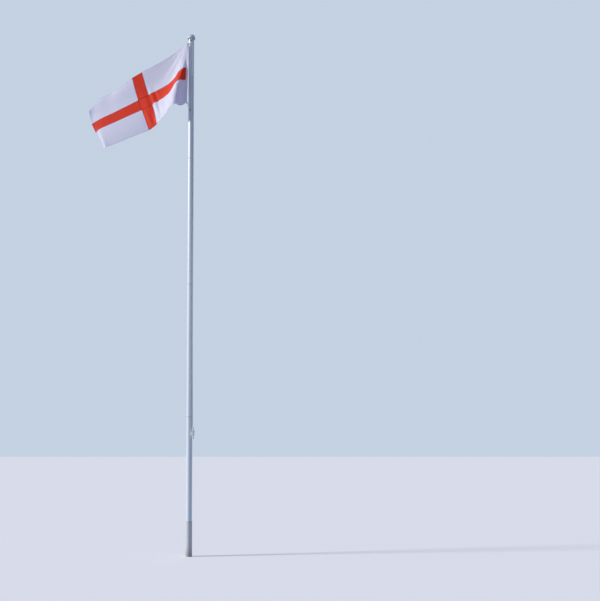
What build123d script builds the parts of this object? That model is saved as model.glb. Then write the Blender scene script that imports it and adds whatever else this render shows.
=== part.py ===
"""A 7 m sectional garden flagpole in a ground sleeve, with a 1.8 m by 0.9 m flag flying from its halyard.

Millimetres, +Z up. The origin is on the pole's axis at ground level.
The usual view looks along +Y. The flag streams towards -X and swings back towards +Y.
"""
from build123d import *
import math
import os

# Ground sleeve that the pole stands in
sleeve_height = 430.0
sleeve_wall = 2.7
sleeve_floor = 6.0
sleeve_rim_chamfer = 1.2
sleeve_clearance = 0.3

# Pole, in swaged sections that stack
tube_diameter = 76.0
tube_wall = 2.6
section_count = 4
section_rise = 1732.0
spigot_length = 150.0
spigot_clearance = 0.2
swage_shoulder = 10.0

# Truck: the casting in the top of the pole, with a fork that holds the sheave
truck_spigot_length = 70.0
truck_wall = 6.0
flange_overhang = 5.0
flange_thickness = 8.0
fork_width = 24.0
fork_cheek = 2.5
fork_play = 0.6

# Sheave, and the pin that holds it
sheave_stand_off = 51.5
sheave_drop = 27.0
sheave_width = 10.0
sheave_lip = 2.5
sheave_flank_angle = 45.0
rope_turn_radius = 16.0
pin_diameter = 6.0
pin_clearance = 0.15
pin_head_radius = 5.0
pin_head_thickness = 2.5

# Mushroom cap
cap_radius = 53.5
cap_height = 64.0
cap_wall = 3.0
cap_rim_height = 14.0
cap_boss_radius = 13.0
cap_gap = 0.4
cap_rings = 7

# Halyard, one loop of rope over the sheave and round the cleat
rope_diameter = 6.0
rope_gap = 0.3
rope_sides = 8
bend_corners = 12

# Horn cleat
cleat_bearing = -50.0
cleat_height = 1530.0
cleat_foot_length = 84.0
cleat_foot_thickness = 8.5
cleat_foot_margin = 1.0
cleat_post_width = 20.0
cleat_post_length = 44.0
cleat_seat_gap = 0.3
horn_length = 150.0
horn_stand_off = 69.0
horn_depth = 17.0
horn_width = 16.0
horn_tip_depth = 9.0
horn_tip_lift = 7.0
horn_chamfer = 2.0

# Turns of rope made fast on the cleat
turn_reach = 34.0
turn_spread = 22.0
turn_under_gap = 0.5
turn_over_gap = 1.2
turn_end_gap = 1.5
turn_points = 24

# Flag heading: a folded band down the hoist, with an eyelet at each end
heading_width = 34.0
heading_thickness = 2.6
heading_top_out = 26.0
heading_top_drop = 83.0
heading_middle_out = 44.0
heading_middle_drop = 528.0
heading_foot_out = 54.0
heading_foot_drop = 958.0
eyelet_inset = 14.0
eyelet_bore = 10.0
eyelet_barrel = 1.0
eyelet_flange = 3.0
eyelet_flange_thickness = 0.6
eyelet_fit = 0.2

# Flag cloth: how it hangs in the wind, as angles behind the pole's plane and falls over the fly's length
cloth_length = 1766.0
cloth_thickness = 1.6
seam_gap = 1.2
stream_angle_top = 26.5
stream_angle_foot = 13.3
stream_fall_top = 0.347
stream_fall_foot = 0.277
fold_turn = 154.0
fold_lead_top = 97.0
fold_start_foot = 186.0
fold_breadth = 95.0
billow_turn = 48.0
billow_lead_top = 230.0
billow_start_foot = 584.0
billow_breadth = 312.0
cloth_columns = 36
cloth_rows = 9
cloth_steps = 6

# Clips that run on the halyard, and the cord from the lower link to the lower clip
clip_clearance = 0.6
clip_wall = 2.2
clip_height = 12.0
clip_lower_drop = 108.0
clip_eye_radius = 6.0
link_length = 22.0
link_wall = 2.6
link_height = 3.0
link_seat_gap = 0.3
cord_diameter = 4.0
knot_radius = 4.6
knot_bevel = 2.0
knot_gap = 0.15

# What follows from the sizes above
tube_radius = tube_diameter / 2
bore_radius = tube_radius - tube_wall
spigot_radius = bore_radius - spigot_clearance
flange_radius = tube_radius + flange_overhang
rope_radius = rope_diameter / 2
pin_bore_radius = pin_diameter / 2 + pin_clearance
tube_top = section_rise * section_count
flange_top = tube_top + flange_thickness
sheave_centre = Vector(0, -sheave_stand_off, tube_top - sheave_drop)
sheave_radius = rope_turn_radius + sheave_lip
fork_half = sheave_width / 2 + fork_play + fork_cheek
cleat_frame = Rot(0, 0, cleat_bearing) * Pos(0, 0, cleat_height)
cleat_seat = tube_radius + cleat_seat_gap
cleat_foot_face = cleat_seat + cleat_foot_thickness
rope_seat = cleat_foot_face + rope_gap + rope_radius
rope_side = cleat_post_width / 2 + rope_gap + rope_radius
post_straight = (cleat_post_length - cleat_post_width) / 2


def on_cleat(out, side, up):
    """A place given outward from the pole, sideways and up at the cleat, in the pole's own frame."""
    return (cleat_frame * Pos(out, side, up)).position


def mix(first, last, share):
    """A value a share of the way from a first one to a last one."""
    return first + (last - first) * share


def turned(points):
    """Turns a closed outline of (radius, height) points about the pole's axis."""
    outline = Polyline(*[(radius, 0, height) for radius, height in points], close=True)
    return revolve(make_face(outline), Axis.Z, 360)


def across(shape):
    """Lays something made about Z along Y, from front to back."""
    return Rot(90, 0, 0) * shape


def along_path(path, radius):
    """A rope or cord with a plain many-sided section, carried along a path."""
    section = Plane(origin=path @ 0, z_dir=path % 0) * RegularPolygon(radius, rope_sides)
    return sweep(section, path, transition=Transition.RIGHT)


def ground_sleeve():
    """A tube set in the ground, cut here at ground level, with a floor that the pole stands on."""
    bore = tube_radius + sleeve_clearance
    depth = sleeve_height - sleeve_floor
    body = Pos(0, 0, sleeve_height / 2) * Cylinder(bore + sleeve_wall, sleeve_height)
    rim = body.edges().filter_by(GeomType.CIRCLE).sort_by(Axis.Z)[-1]
    body = chamfer(rim, sleeve_rim_chamfer)
    return body - Pos(0, 0, sleeve_floor + depth / 2) * Cylinder(bore, depth)


def pole_section(index):
    """One tube. Each tube but the lowest has a swaged foot that goes into the tube below."""
    top = section_rise * (index + 1)
    if index == 0:
        foot = sleeve_floor
        return turned([(bore_radius, foot), (tube_radius, foot), (tube_radius, top), (bore_radius, top)])
    foot = section_rise * index
    toe = foot - spigot_length
    shoulder = foot + swage_shoulder
    inner = spigot_radius - tube_wall
    return turned([
        (inner, toe), (spigot_radius, toe), (spigot_radius, foot), (tube_radius, shoulder),
        (tube_radius, top), (bore_radius, top), (bore_radius, shoulder), (inner, foot),
    ])


def truck_body():
    """A hollow spigot and a flange in one, with an arm and two cheeks that hold the sheave."""
    toe = tube_top - truck_spigot_length
    ceiling = tube_top - truck_wall
    inner = spigot_radius - truck_wall
    body = turned([
        (inner, toe), (spigot_radius, toe), (spigot_radius, tube_top), (flange_radius, tube_top),
        (flange_radius, flange_top), (0, flange_top), (0, ceiling), (inner, ceiling),
    ])
    reach = sheave_stand_off + fork_half
    body += Pos(0, -reach / 2, tube_top + flange_thickness / 2) * Box(fork_width, reach, flange_thickness)
    for side in (-1, 1):
        y = sheave_centre.Y + side * (fork_half - fork_cheek / 2)
        body += Pos(0, y, sheave_centre.Z + sheave_drop / 2) * Box(fork_width, fork_cheek, sheave_drop)
        body += Pos(0, y, sheave_centre.Z) * across(Cylinder(fork_width / 2, fork_cheek))
    return body - Pos(*sheave_centre) * across(Cylinder(pin_bore_radius, 2 * fork_half))


def mushroom_cap():
    """A domed shell with a straight rim, seated on the flange by a boss in its middle."""
    rise = cap_height - cap_rim_height
    dome = (cap_radius ** 2 + rise ** 2) / (2 * rise)
    centre = cap_height - dome
    spread = math.asin(cap_radius / dome)

    def on_dome(radius, angle):
        return (radius * math.sin(angle), centre + radius * math.cos(angle))

    inner = cap_radius - cap_wall
    inner_dome = dome - cap_wall
    boss_angle = math.asin(cap_boss_radius / inner_dome)
    inner_spread = math.asin(inner / inner_dome)
    outside = [on_dome(dome, spread * ring / cap_rings) for ring in range(1, cap_rings + 1)]
    ceiling = [on_dome(inner_dome, mix(inner_spread, boss_angle, share)) for share in (0, 0.5, 1)]
    shell = turned([
        (0, cap_height), *outside, (cap_radius, cap_gap), (inner, cap_gap), *ceiling, (cap_boss_radius, 0), (0, 0),
    ])
    return Pos(0, 0, flange_top) * shell


def sheave():
    """A grooved wheel. The groove has a narrow bottom and sloping flanks that clear the rope."""
    half = sheave_width / 2
    groove = rope_radius + rope_gap
    bottom = rope_turn_radius - groove
    shoulder = groove * math.tan(math.radians(sheave_flank_angle / 2))
    outline = Polyline(
        (pin_bore_radius, half), (sheave_radius, half), (sheave_radius, groove), (rope_turn_radius, groove),
        (rope_turn_radius - shoulder, groove), (bottom, shoulder), (bottom, -shoulder),
        (rope_turn_radius - shoulder, -groove), (sheave_radius, -groove), (sheave_radius, -half),
        (pin_bore_radius, -half), close=True,
    )
    return Pos(*sheave_centre) * revolve(make_face(outline), Axis.Y, 360)


def sheave_pin():
    """A headed pin from the front cheek through to the back one."""
    front = sheave_centre.Y - fork_half
    pin = Pos(0, sheave_centre.Y, sheave_centre.Z) * across(Cylinder(pin_diameter / 2, 2 * fork_half))
    head = across(Cylinder(pin_head_radius, pin_head_thickness))
    return pin + Pos(0, front - pin_head_thickness / 2, sheave_centre.Z) * head


def cleat():
    """A moulded horn cleat: a foot saddled to the tube, a post with round ends, and a bar with two horns."""
    half = horn_length / 2
    outer = horn_stand_off + horn_depth / 2
    inner = horn_stand_off - horn_depth / 2
    tip_outer = outer + horn_tip_lift
    tip_inner = tip_outer - horn_tip_depth
    front = ThreePointArc((tip_outer, 0, -half), (outer, 0, 0), (tip_outer, 0, half))
    back = ThreePointArc((tip_inner, 0, half), (inner, 0, 0), (tip_inner, 0, -half))
    bar = extrude(make_face(front + Line(front @ 1, back @ 0) + back + Line(back @ 1, front @ 0)), horn_width / 2, both=True)
    bar = chamfer(bar.edges().filter_by(GeomType.CIRCLE), horn_chamfer)
    foot_shape = SlotOverall(cleat_foot_length, cleat_post_width + 2 * cleat_foot_margin)
    foot = extrude(Plane.YZ * (Rot(0, 0, 90) * foot_shape), cleat_foot_face)
    post = extrude(Plane.YZ * (Rot(0, 0, 90) * SlotOverall(cleat_post_length, cleat_post_width)), horn_stand_off)
    return cleat_frame * (foot + post + bar - Cylinder(cleat_seat, 2 * horn_length))


flag_side_top = sheave_centre + Vector(-rope_turn_radius, 0, 0)
return_side_top = sheave_centre + Vector(rope_turn_radius, 0, 0)
flag_side_foot = on_cleat(rope_seat, -rope_side, -post_straight)
return_side_foot = on_cleat(rope_seat, rope_side, -post_straight)
run_direction = (flag_side_foot - flag_side_top).normalized()


def half_turn(start, crown, end):
    """Half a circle of rope in short mitred runs that touch the circle, from a start over a crown to an end."""
    centre = (start + end) / 2
    bend = math.pi / bend_corners
    reach = 1 / math.cos(bend / 2)
    corners = []
    for index in range(bend_corners):
        angle = bend * (index + 0.5)
        out = (start - centre) * math.cos(angle) + (crown - centre) * math.sin(angle)
        corners.append(centre + out * reach)
    return along_path(Polyline(start, *corners, end), rope_radius)


def halyard_over_sheave():
    return half_turn(flag_side_top, sheave_centre + Vector(0, 0, rope_turn_radius), return_side_top)


def halyard_round_cleat():
    return half_turn(flag_side_foot, on_cleat(rope_seat, 0, -post_straight - rope_side), return_side_foot)


def halyard_turns():
    """A figure of eight round both horns, crossing in front of the bar, with its two ends side by side."""
    back = horn_stand_off - horn_depth / 2 - turn_under_gap - rope_radius
    front = horn_stand_off + horn_depth / 2 + turn_over_gap + 2 * rope_radius
    places = []
    for step in range(turn_points):
        angle = 2 * math.pi * step / turn_points
        out = back + (front - back) * math.cos(angle) ** 2 + (rope_radius + rope_gap / 2) * math.cos(angle)
        places.append(on_cleat(out, turn_spread * math.sin(2 * angle), turn_reach * math.sin(angle)))
    tail = places[0] + (places[-1] - places[0]).normalized() * turn_end_gap
    return along_path(Polyline(*places, tail), rope_radius)


def at_height(height):
    """The place on the flag side of the halyard at a height."""
    share = (flag_side_top.Z - height) / (flag_side_top.Z - flag_side_foot.Z)
    return flag_side_top + (flag_side_foot - flag_side_top) * share


clip_bore = rope_radius + clip_clearance
clip_outer = clip_bore + clip_wall


def rope_sleeve(height):
    """A short sleeve round the flag side of the halyard, free to slide on it."""
    place = Plane(origin=at_height(height), z_dir=run_direction)
    return place * (Cylinder(clip_outer, clip_height) - Cylinder(clip_bore, clip_height))


hoist_line = ThreePointArc(
    (-heading_top_out, -sheave_stand_off, tube_top - heading_top_drop),
    (-heading_middle_out, -sheave_stand_off, tube_top - heading_middle_drop),
    (-heading_foot_out, -sheave_stand_off, tube_top - heading_foot_drop),
)


def beside_hoist(share, inward):
    """A place a share of the way down the hoist and a distance in from its edge."""
    along = hoist_line % share
    sideways = Vector(along.Z, 0, -along.X)
    return hoist_line @ share + sideways * inward


heading_length = hoist_line.length
top_eyelet_at = beside_hoist(eyelet_inset / heading_length, eyelet_inset)
foot_eyelet_at = beside_hoist(1 - eyelet_inset / heading_length, eyelet_inset)
eyelet_barrel_radius = eyelet_bore / 2 + eyelet_barrel


def flag_heading():
    """A folded band down the hoist, with a hole for each eyelet."""
    inner_line = ThreePointArc(
        beside_hoist(0, heading_width), beside_hoist(0.5, heading_width), beside_hoist(1, heading_width)
    )
    ends = Line(hoist_line @ 0, inner_line @ 0) + Line(inner_line @ 1, hoist_line @ 1)
    band = extrude(make_face(hoist_line + ends + inner_line), heading_thickness / 2, both=True)
    for place in (top_eyelet_at, foot_eyelet_at):
        band -= Pos(*place) * across(Cylinder(eyelet_barrel_radius + eyelet_fit, 2 * heading_thickness))
    return band


def eyelet(place):
    """A barrel with a flange on each face of the heading."""
    half = heading_thickness / 2 + eyelet_fit
    rim = half + eyelet_flange_thickness
    outer = eyelet_barrel_radius + eyelet_flange
    ring = Cylinder(outer, 2 * rim) - Cylinder(eyelet_bore / 2, 2 * rim)
    ring -= Cylinder(outer, 2 * half) - Cylinder(eyelet_barrel_radius, 2 * half)
    return Pos(*place) * across(ring)


link_inner_half = heading_thickness / 2 + eyelet_fit + eyelet_flange_thickness + link_seat_gap
link_width = 2 * (link_inner_half + link_wall)
link_play = Vector(0, 0, eyelet_bore / 2 - link_height / 2 - link_seat_gap)


def link(place, length):
    """A flat oval link, lying level, whose left end passes through an eyelet at a place."""
    outline = SlotOverall(length, link_width) - SlotOverall(length - 2 * link_wall, link_width - 2 * link_wall)
    centre = place + Vector(length / 2 - link_wall / 2, 0, 0)
    return Pos(*centre) * extrude(outline, link_height / 2, both=True)


top_link_at = top_eyelet_at + link_play
foot_link_at = foot_eyelet_at - link_play
foot_link_side = foot_link_at + Vector(link_length - link_wall, 0, 0)
lower_clip_height = foot_eyelet_at.Z - clip_lower_drop
clip_eye_at = at_height(lower_clip_height) + Vector(-clip_bore - clip_eye_radius, 0, 0)
clip_eye_side = clip_eye_at + Vector(-clip_eye_radius + link_wall / 2, 0, 0)


def top_clip():
    """A clip whose link goes through the top eyelet and whose sleeve runs on the halyard."""
    reach = at_height(top_link_at.Z).X - top_link_at.X - clip_bore + link_wall / 2
    return link(top_link_at, reach) + rope_sleeve(top_link_at.Z)


def clip_eye(grow):
    """The lower clip's eye, a flat ring that stands upright, made larger by a gap where a knot is cut."""
    ring = Cylinder(clip_eye_radius + grow, link_height + 2 * grow)
    return Pos(*clip_eye_at) * across(ring - Cylinder(clip_eye_radius - link_wall - grow, link_height + 2 * grow))


def lower_clip():
    """A sleeve on the halyard with an upright eye for the cord."""
    eye = clip_eye(0)
    sleeve = rope_sleeve(lower_clip_height)
    bore = Plane(origin=at_height(lower_clip_height), z_dir=run_direction) * Cylinder(clip_bore, 2 * clip_height)
    return eye + sleeve - bore


def knot(place):
    """A knot, as a short barrel with bevelled ends."""
    barrel = Cylinder(knot_radius, 2 * knot_radius)
    return Pos(*place) * chamfer(barrel.edges().filter_by(GeomType.CIRCLE), knot_bevel)


def tail_cord():
    """A cord from a knot round the lower link to a knot round the lower clip's eye."""
    cord = along_path(Line(foot_link_side, clip_eye_side), cord_diameter / 2)
    cord += knot(foot_link_side) + knot(clip_eye_side)
    cord -= grown_link() + clip_eye(knot_gap)
    return cord


def grown_link():
    """The lower link with the knot's gap all round it."""
    hole = SlotOverall(link_length - 2 * link_wall - 2 * knot_gap, link_width - 2 * link_wall - 2 * knot_gap)
    outline = SlotOverall(link_length + 2 * knot_gap, link_width + 2 * knot_gap) - hole
    centre = foot_link_at + Vector(link_length / 2 - link_wall / 2, 0, 0)
    return Pos(*centre) * extrude(outline, link_height / 2 + knot_gap, both=True)


def bump(distance, breadth):
    return math.exp(-(distance / breadth) ** 2)


def cloth_row(down):
    """Points along the fly, at a share of the way down the hoist.

    The cloth streams at an angle and falls steadily. Near the hoist it first turns forward in a tight fold,
    and then turns back in a broad billow; both lie further along the fly towards the foot.
    """
    fall = mix(stream_fall_top, stream_fall_foot, down)
    level = math.sqrt(1 - fall ** 2)
    stream = mix(stream_angle_top, stream_angle_foot, down)
    fold_start = mix(-fold_lead_top, fold_start_foot, down)
    billow_start = mix(-billow_lead_top, billow_start_foot, down)
    place = beside_hoist(down, heading_width + seam_gap)
    row = [place]
    step = cloth_length / (cloth_columns - 1) / cloth_steps
    along = step / 2
    for _ in range(cloth_columns - 1):
        for _ in range(cloth_steps):
            angle = billow_turn * bump(along - billow_start, billow_breadth)
            angle -= fold_turn * bump(along - fold_start, fold_breadth)
            heading = math.radians(stream + angle)
            place = place + Vector(-math.cos(heading) * level, math.sin(heading) * level, -fall) * step
            along += step
        row.append(place)
    return row


def cloth_normal(rows, down, column):
    """The direction square to the cloth at one of its points."""
    row = rows[down]
    along = row[min(column + 1, cloth_columns - 1)] - row[max(column - 1, 0)]
    above = rows[max(down - 1, 0)][column]
    below = rows[min(down + 1, cloth_rows - 1)][column]
    return along.cross(below - above).normalized()


def cloth_line(rows, down, side):
    """A smooth line along the fly, half a thickness to one side of a row's points."""
    offset = side * cloth_thickness / 2
    return Spline(*[place + cloth_normal(rows, down, column) * offset for column, place in enumerate(rows[down])])


def flag_cloth():
    """The cloth as strips ruled from one row to the next, on both sides, closed by narrow faces at the hems."""
    rows = [cloth_row(index / (cloth_rows - 1)) for index in range(cloth_rows)]
    fronts = [cloth_line(rows, down, -1) for down in range(cloth_rows)]
    backs = [cloth_line(rows, down, 1) for down in range(cloth_rows)]
    ends = [[Line(front @ end, back @ end) for front, back in zip(fronts, backs)] for end in (0, 1)]
    faces = [Face.make_surface_from_curves(fronts[down], backs[down]) for down in (0, -1)]
    for lines in (fronts, backs, *ends):
        faces += [Face.make_surface_from_curves(upper, lower) for upper, lower in zip(lines, lines[1:])]
    return Solid(Shell(faces))


parts = {"ground_sleeve": ground_sleeve()}
for index in range(section_count):
    parts[f"pole_section_{index + 1}"] = pole_section(index)
parts["truck_body"] = truck_body()
parts["mushroom_cap"] = mushroom_cap()
parts["sheave"] = sheave()
parts["sheave_pin"] = sheave_pin()
parts["cleat"] = cleat()
parts["halyard_over_sheave"] = halyard_over_sheave()
parts["halyard_flag_run"] = along_path(Line(flag_side_top, flag_side_foot), rope_radius)
parts["halyard_return_run"] = along_path(Line(return_side_top, return_side_foot), rope_radius)
parts["halyard_round_cleat"] = halyard_round_cleat()
parts["halyard_turns"] = halyard_turns()
parts["flag_heading"] = flag_heading()
parts["top_eyelet"] = eyelet(top_eyelet_at)
parts["foot_eyelet"] = eyelet(foot_eyelet_at)
parts["top_clip"] = top_clip()
parts["lower_clip"] = lower_clip()
parts["foot_link"] = link(foot_link_at, link_length)
parts["tail_cord"] = tail_cord()
parts["flag_cloth"] = flag_cloth()

os.makedirs("parts", exist_ok=True)
for name, shape in parts.items():
    export_step(shape, f"parts/{name}.step")
    print(name, "closed" if shape.is_valid else "NOT VALID", round(shape.volume), "mm3")
print("halyard direction", [round(value, 6) for value in run_direction])
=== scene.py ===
"""The looks of a 7 m sectional flagpole with a 1.8 m by 0.9 m flag flying from its halyard.

Metres, +Z up, with the origin on the pole's axis at ground level. The camera looks along +Y and a little up.
The flag streams towards -X and swings back towards +Y.
"""
import math
import bpy
import numpy as np
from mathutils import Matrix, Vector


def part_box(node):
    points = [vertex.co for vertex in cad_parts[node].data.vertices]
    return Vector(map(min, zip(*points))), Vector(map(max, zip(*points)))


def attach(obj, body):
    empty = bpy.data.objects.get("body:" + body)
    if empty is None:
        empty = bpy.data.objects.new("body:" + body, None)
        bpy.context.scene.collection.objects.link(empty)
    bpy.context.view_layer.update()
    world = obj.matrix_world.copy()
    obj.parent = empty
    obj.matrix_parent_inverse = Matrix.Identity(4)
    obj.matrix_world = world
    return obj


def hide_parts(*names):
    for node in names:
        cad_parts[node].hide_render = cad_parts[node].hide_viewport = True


bl_info = {
    "name": "Sectional flagpole",
    "version": (1, 0, 0),
    "blender": (4, 5, 0),
    "location": "3D View > Sidebar > Flagpole",
    "description": "Dresses a sectional flagpole: rope, sewn flag, fasteners, finishes and a plain studio",
    "category": "Object",
}

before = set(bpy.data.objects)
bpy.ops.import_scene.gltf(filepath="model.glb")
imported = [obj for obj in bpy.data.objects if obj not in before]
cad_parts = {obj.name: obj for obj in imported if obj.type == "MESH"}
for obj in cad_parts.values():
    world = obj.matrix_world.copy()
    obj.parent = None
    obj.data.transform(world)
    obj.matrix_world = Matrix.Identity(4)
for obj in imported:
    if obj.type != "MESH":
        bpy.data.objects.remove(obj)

# Pole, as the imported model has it, and how nearly the cap has to face its dome's way to be smoothed
SECTIONS = 4
SECTION_RISE = 1.732
SLEEVE_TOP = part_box("ground_sleeve")[1].z
CAP_CENTRE = 6.9464
DOME_MATCH = 0.8

# Halyard: the plane of its two runs, its bend over the sheave, its rope, and the gap where it crosses itself
HALYARD_PLANE = -0.0515
SHEAVE_HEIGHT = 6.901
ROPE_TURN_RADIUS = 0.016
ROPE_RADIUS = 0.003
ROPE_GAP = 0.0003

# Cleat: the way it faces and its height, then the rope's seat on its post, its bar with the horns, and its foot
CLEAT_BEARING = math.radians(-50)
CLEAT_HEIGHT = 1.53
ROPE_SEAT = 0.0501
ROPE_SIDE = 0.0133
POST_STRAIGHT = 0.012
HORN_STAND_OFF = 0.069
HORN_DEPTH = 0.017
CLEAT_FOOT_FACE = 0.0468
CLEAT_SCREW_UP = 0.032

# Tail: its cord, and the thickness of the link's wire and of the clip's eye that it is knotted over
CORD_RADIUS = 0.002
KNOTTED_BAR = 0.0026

# The hoist's edge, as three places on its curve, with the turn that the wind gives the band down it, and the share of
# that turn that is lost towards the foot
HOIST_TOP = (-0.026, HALYARD_PLANE, 6.845)
HOIST_MIDDLE = (-0.044, HALYARD_PLANE, 6.400)
HOIST_FOOT = (-0.054, HALYARD_PLANE, 5.970)
HEADING_TURN = math.radians(38)
HEADING_EASE = 0.55

# Colours of dirt and wear, and the darker tone in the rope's hollows
CHALK = (0.46, 0.47, 0.43)
GRIME = (0.30, 0.31, 0.29)
SOIL = (0.17, 0.14, 0.09)
SCUFFS = (0.40, 0.36, 0.33)
ROPE_HOLLOW_TONE = (0.28, 0.28, 0.25)

# Light that comes through cloth: its share, and how far each of its colours spreads, in steps of one length
WHITE_GLOW = 1.0
RED_GLOW = 0.8
BAND_GLOW = 0.8
WHITE_SPREAD = (1.0, 0.95, 1.0)
RED_SPREAD = (1.0, 0.14, 0.08)
SPREAD_LENGTH = 0.003

# Fine textures: slubs for a metre along the fly and down it, the ribs of the webbing and their slant, and fibres for
# once round a rope and a metre along it
SLUB_SCALE = (40.0, 900.0, 1.0)
RIB_SPACING = 0.0016
RIB_SLANT = 0.55
FIBRE_SCALE = (60.0, 900.0, 1.0)

# Camera, worked out from the photograph's 600 by 601 frame
FRAME_WIDTH = 600
FOCAL_PIXELS = 787.0
CAMERA_PLACE = (0.355, -10.26, 1.65)
CAMERA_PITCH = math.radians(8.88)
AXIS_PIXEL = (217.0, 300.5)

# Lines of the flag as pixels of the photograph, from the hoist or the top outwards
TOP_EDGE = (
    (189.5, 43.5), (176.0, 53.0), (140.7, 73.6), (131.3, 79.4), (112.1, 94.6), (104.1, 97.7), (91.6, 105.7),
    (89.4, 108.4),
)
FOOT_EDGE = (
    (187.1, 103.5), (179.1, 104.8), (173.8, 105.3), (168.4, 109.7), (166.6, 114.2), (162.1, 119.1), (156.3, 125.8),
    (150.1, 131.2), (144.3, 132.5), (133.6, 136.5), (124.6, 140.1), (115.7, 144.6), (105.4, 148.6),
)
FLY_EDGE = ((89.4, 108.4), (88.8, 115.1), (91.2, 121.8), (95.6, 130.3), (105.4, 148.6))
ARM_TOP = (
    (187.6, 67.3), (184.0, 68.7), (179.1, 73.1), (176.0, 78.0), (174.6, 80.3), (169.3, 83.4), (158.6, 88.8),
    (148.8, 93.7), (139.0, 99.0), (90.9, 121.5),
)
ARM_FOOT = (
    (187.6, 78.5), (182.7, 79.4), (177.3, 81.2), (175.1, 83.4), (173.3, 86.5), (169.7, 94.6), (165.7, 96.8),
    (153.2, 103.5), (143.5, 109.0), (95.6, 130.3),
)
UPRIGHT_NEAR = ((140.7, 73.6), (148.8, 93.7), (153.2, 103.5), (156.3, 125.8))
UPRIGHT_FAR = ((131.3, 79.4), (139.0, 99.0), (143.5, 109.0), (150.1, 131.2))


class StageSettings(bpy.types.PropertyGroup):
    """Floor, background and lights."""

    floor_size: bpy.props.FloatProperty(
        name="Floor size", description="Side of the square floor", default=60.0, unit="LENGTH"
    )
    floor_colour: bpy.props.FloatVectorProperty(
        name="Floor colour", description="Colour of the floor", subtype="COLOR", default=(0.90, 0.94, 0.98)
    )
    floor_lift: bpy.props.FloatVectorProperty(
        name="Floor lift", description="Light added to the floor as it is seen", subtype="COLOR",
        default=(0.29, 0.26, 0.21),
    )
    background: bpy.props.FloatVectorProperty(
        name="Background", description="Colour seen behind the object", subtype="COLOR", default=(0.55, 0.64, 0.76)
    )
    sky_light: bpy.props.FloatVectorProperty(
        name="Fill light", description="Colour of the soft light from all round", subtype="COLOR",
        default=(0.135, 0.17, 0.31),
    )
    key_strength: bpy.props.FloatProperty(name="Key strength", description="Strength of the key light", default=2.6)
    key_bearing: bpy.props.FloatProperty(
        name="Key bearing", description="Bearing of the key light, anticlockwise from straight behind the camera",
        subtype="ANGLE", default=math.radians(-82),
    )
    key_height: bpy.props.FloatProperty(
        name="Key height", description="Height of the key light over the horizon", subtype="ANGLE",
        default=math.radians(21),
    )
    key_spread: bpy.props.FloatProperty(
        name="Key spread", description="Apparent size of the key light", subtype="ANGLE", default=math.radians(6)
    )


class FlagSettings(bpy.types.PropertyGroup):
    """The flag's cut, seams and colours."""

    fly: bpy.props.FloatProperty(name="Fly", description="Length of the flag", default=1.8, unit="LENGTH")
    hoist: bpy.props.FloatProperty(name="Hoist", description="Height of the flag", default=0.9, unit="LENGTH")
    bar: bpy.props.FloatProperty(name="Bar", description="Width of the cross's bars", default=0.18, unit="LENGTH")
    upright: bpy.props.FloatProperty(
        name="Upright", description="Distance from the hoist to the upright bar", default=0.81, unit="LENGTH"
    )
    heading: bpy.props.FloatProperty(
        name="Heading", description="Width of the band down the hoist", default=0.034, unit="LENGTH"
    )
    grid: bpy.props.FloatProperty(
        name="Grid", description="Spacing of the points that the cloth settles with", default=0.018, unit="LENGTH"
    )
    detail: bpy.props.FloatProperty(
        name="Detail", description="Widest spacing of the finished cloth's points", default=0.0068, unit="LENGTH"
    )
    thickness: bpy.props.FloatProperty(
        name="Thickness", description="Thickness of one layer of cloth", default=0.0006, unit="LENGTH"
    )
    seam: bpy.props.FloatProperty(name="Seam", description="Width of a felled seam", default=0.010, unit="LENGTH")
    hem: bpy.props.FloatProperty(name="Hem", description="Width of the long hems", default=0.012, unit="LENGTH")
    fly_hem: bpy.props.FloatProperty(name="Fly hem", description="Width of the fly's hem", default=0.028, unit="LENGTH")
    stitch: bpy.props.FloatProperty(name="Stitch", description="Length of a stitch", default=0.0042, unit="LENGTH")
    # The field's white is tinted lavender: painted bluish sky light on white cloth
    white: bpy.props.FloatVectorProperty(
        name="White", description="Colour of the field", subtype="COLOR", default=(0.98, 0.79, 1.0)
    )
    red: bpy.props.FloatVectorProperty(
        name="Red", description="Colour of the cross", subtype="COLOR", default=(0.94, 0.045, 0.012)
    )
    # Painted shade: the colours that the cloth is faded towards where it lies in more than one layer, along the seams
    # and hems
    white_layer_shade: bpy.props.FloatVectorProperty(
        name="White layer shade", description="Colour of white cloth in more than one layer", subtype="COLOR",
        default=(0.36, 0.50, 0.57),
    )
    red_layer_shade: bpy.props.FloatVectorProperty(
        name="Red layer shade", description="Colour of red cloth in more than one layer", subtype="COLOR",
        default=(0.22, 0.012, 0.010),
    )
    webbing: bpy.props.FloatVectorProperty(
        name="Webbing", description="Colour of the band down the hoist", subtype="COLOR", default=(0.93, 0.86, 0.97)
    )
    white_thread: bpy.props.FloatVectorProperty(
        name="White thread", description="Colour of the hems' and the band's thread", subtype="COLOR",
        default=(0.74, 0.73, 0.79),
    )
    red_thread: bpy.props.FloatVectorProperty(
        name="Red thread", description="Colour of the seams' thread", subtype="COLOR", default=(0.50, 0.02, 0.016)
    )


class RopeSettings(bpy.types.PropertyGroup):
    """The halyard's braid."""

    lay: bpy.props.FloatProperty(
        name="Lay", description="Length in which a strand goes once round", default=0.034, unit="LENGTH"
    )
    strands: bpy.props.IntProperty(name="Strands", description="Strands that wind each way", default=5)
    depth: bpy.props.FloatProperty(
        name="Depth", description="Depth of the braid as a share of the radius", default=0.22
    )
    station: bpy.props.FloatProperty(
        name="Station", description="Distance between the rope's rings of points", default=0.0017, unit="LENGTH"
    )
    sides: bpy.props.IntProperty(name="Sides", description="Points round the rope", default=20)
    colour: bpy.props.FloatVectorProperty(
        name="Colour", description="Colour of the rope", subtype="COLOR", default=(0.72, 0.72, 0.69)
    )
    cord_colour: bpy.props.FloatVectorProperty(
        name="Cord colour", description="Colour of the tail's thin cord", subtype="COLOR", default=(0.70, 0.70, 0.68)
    )


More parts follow.
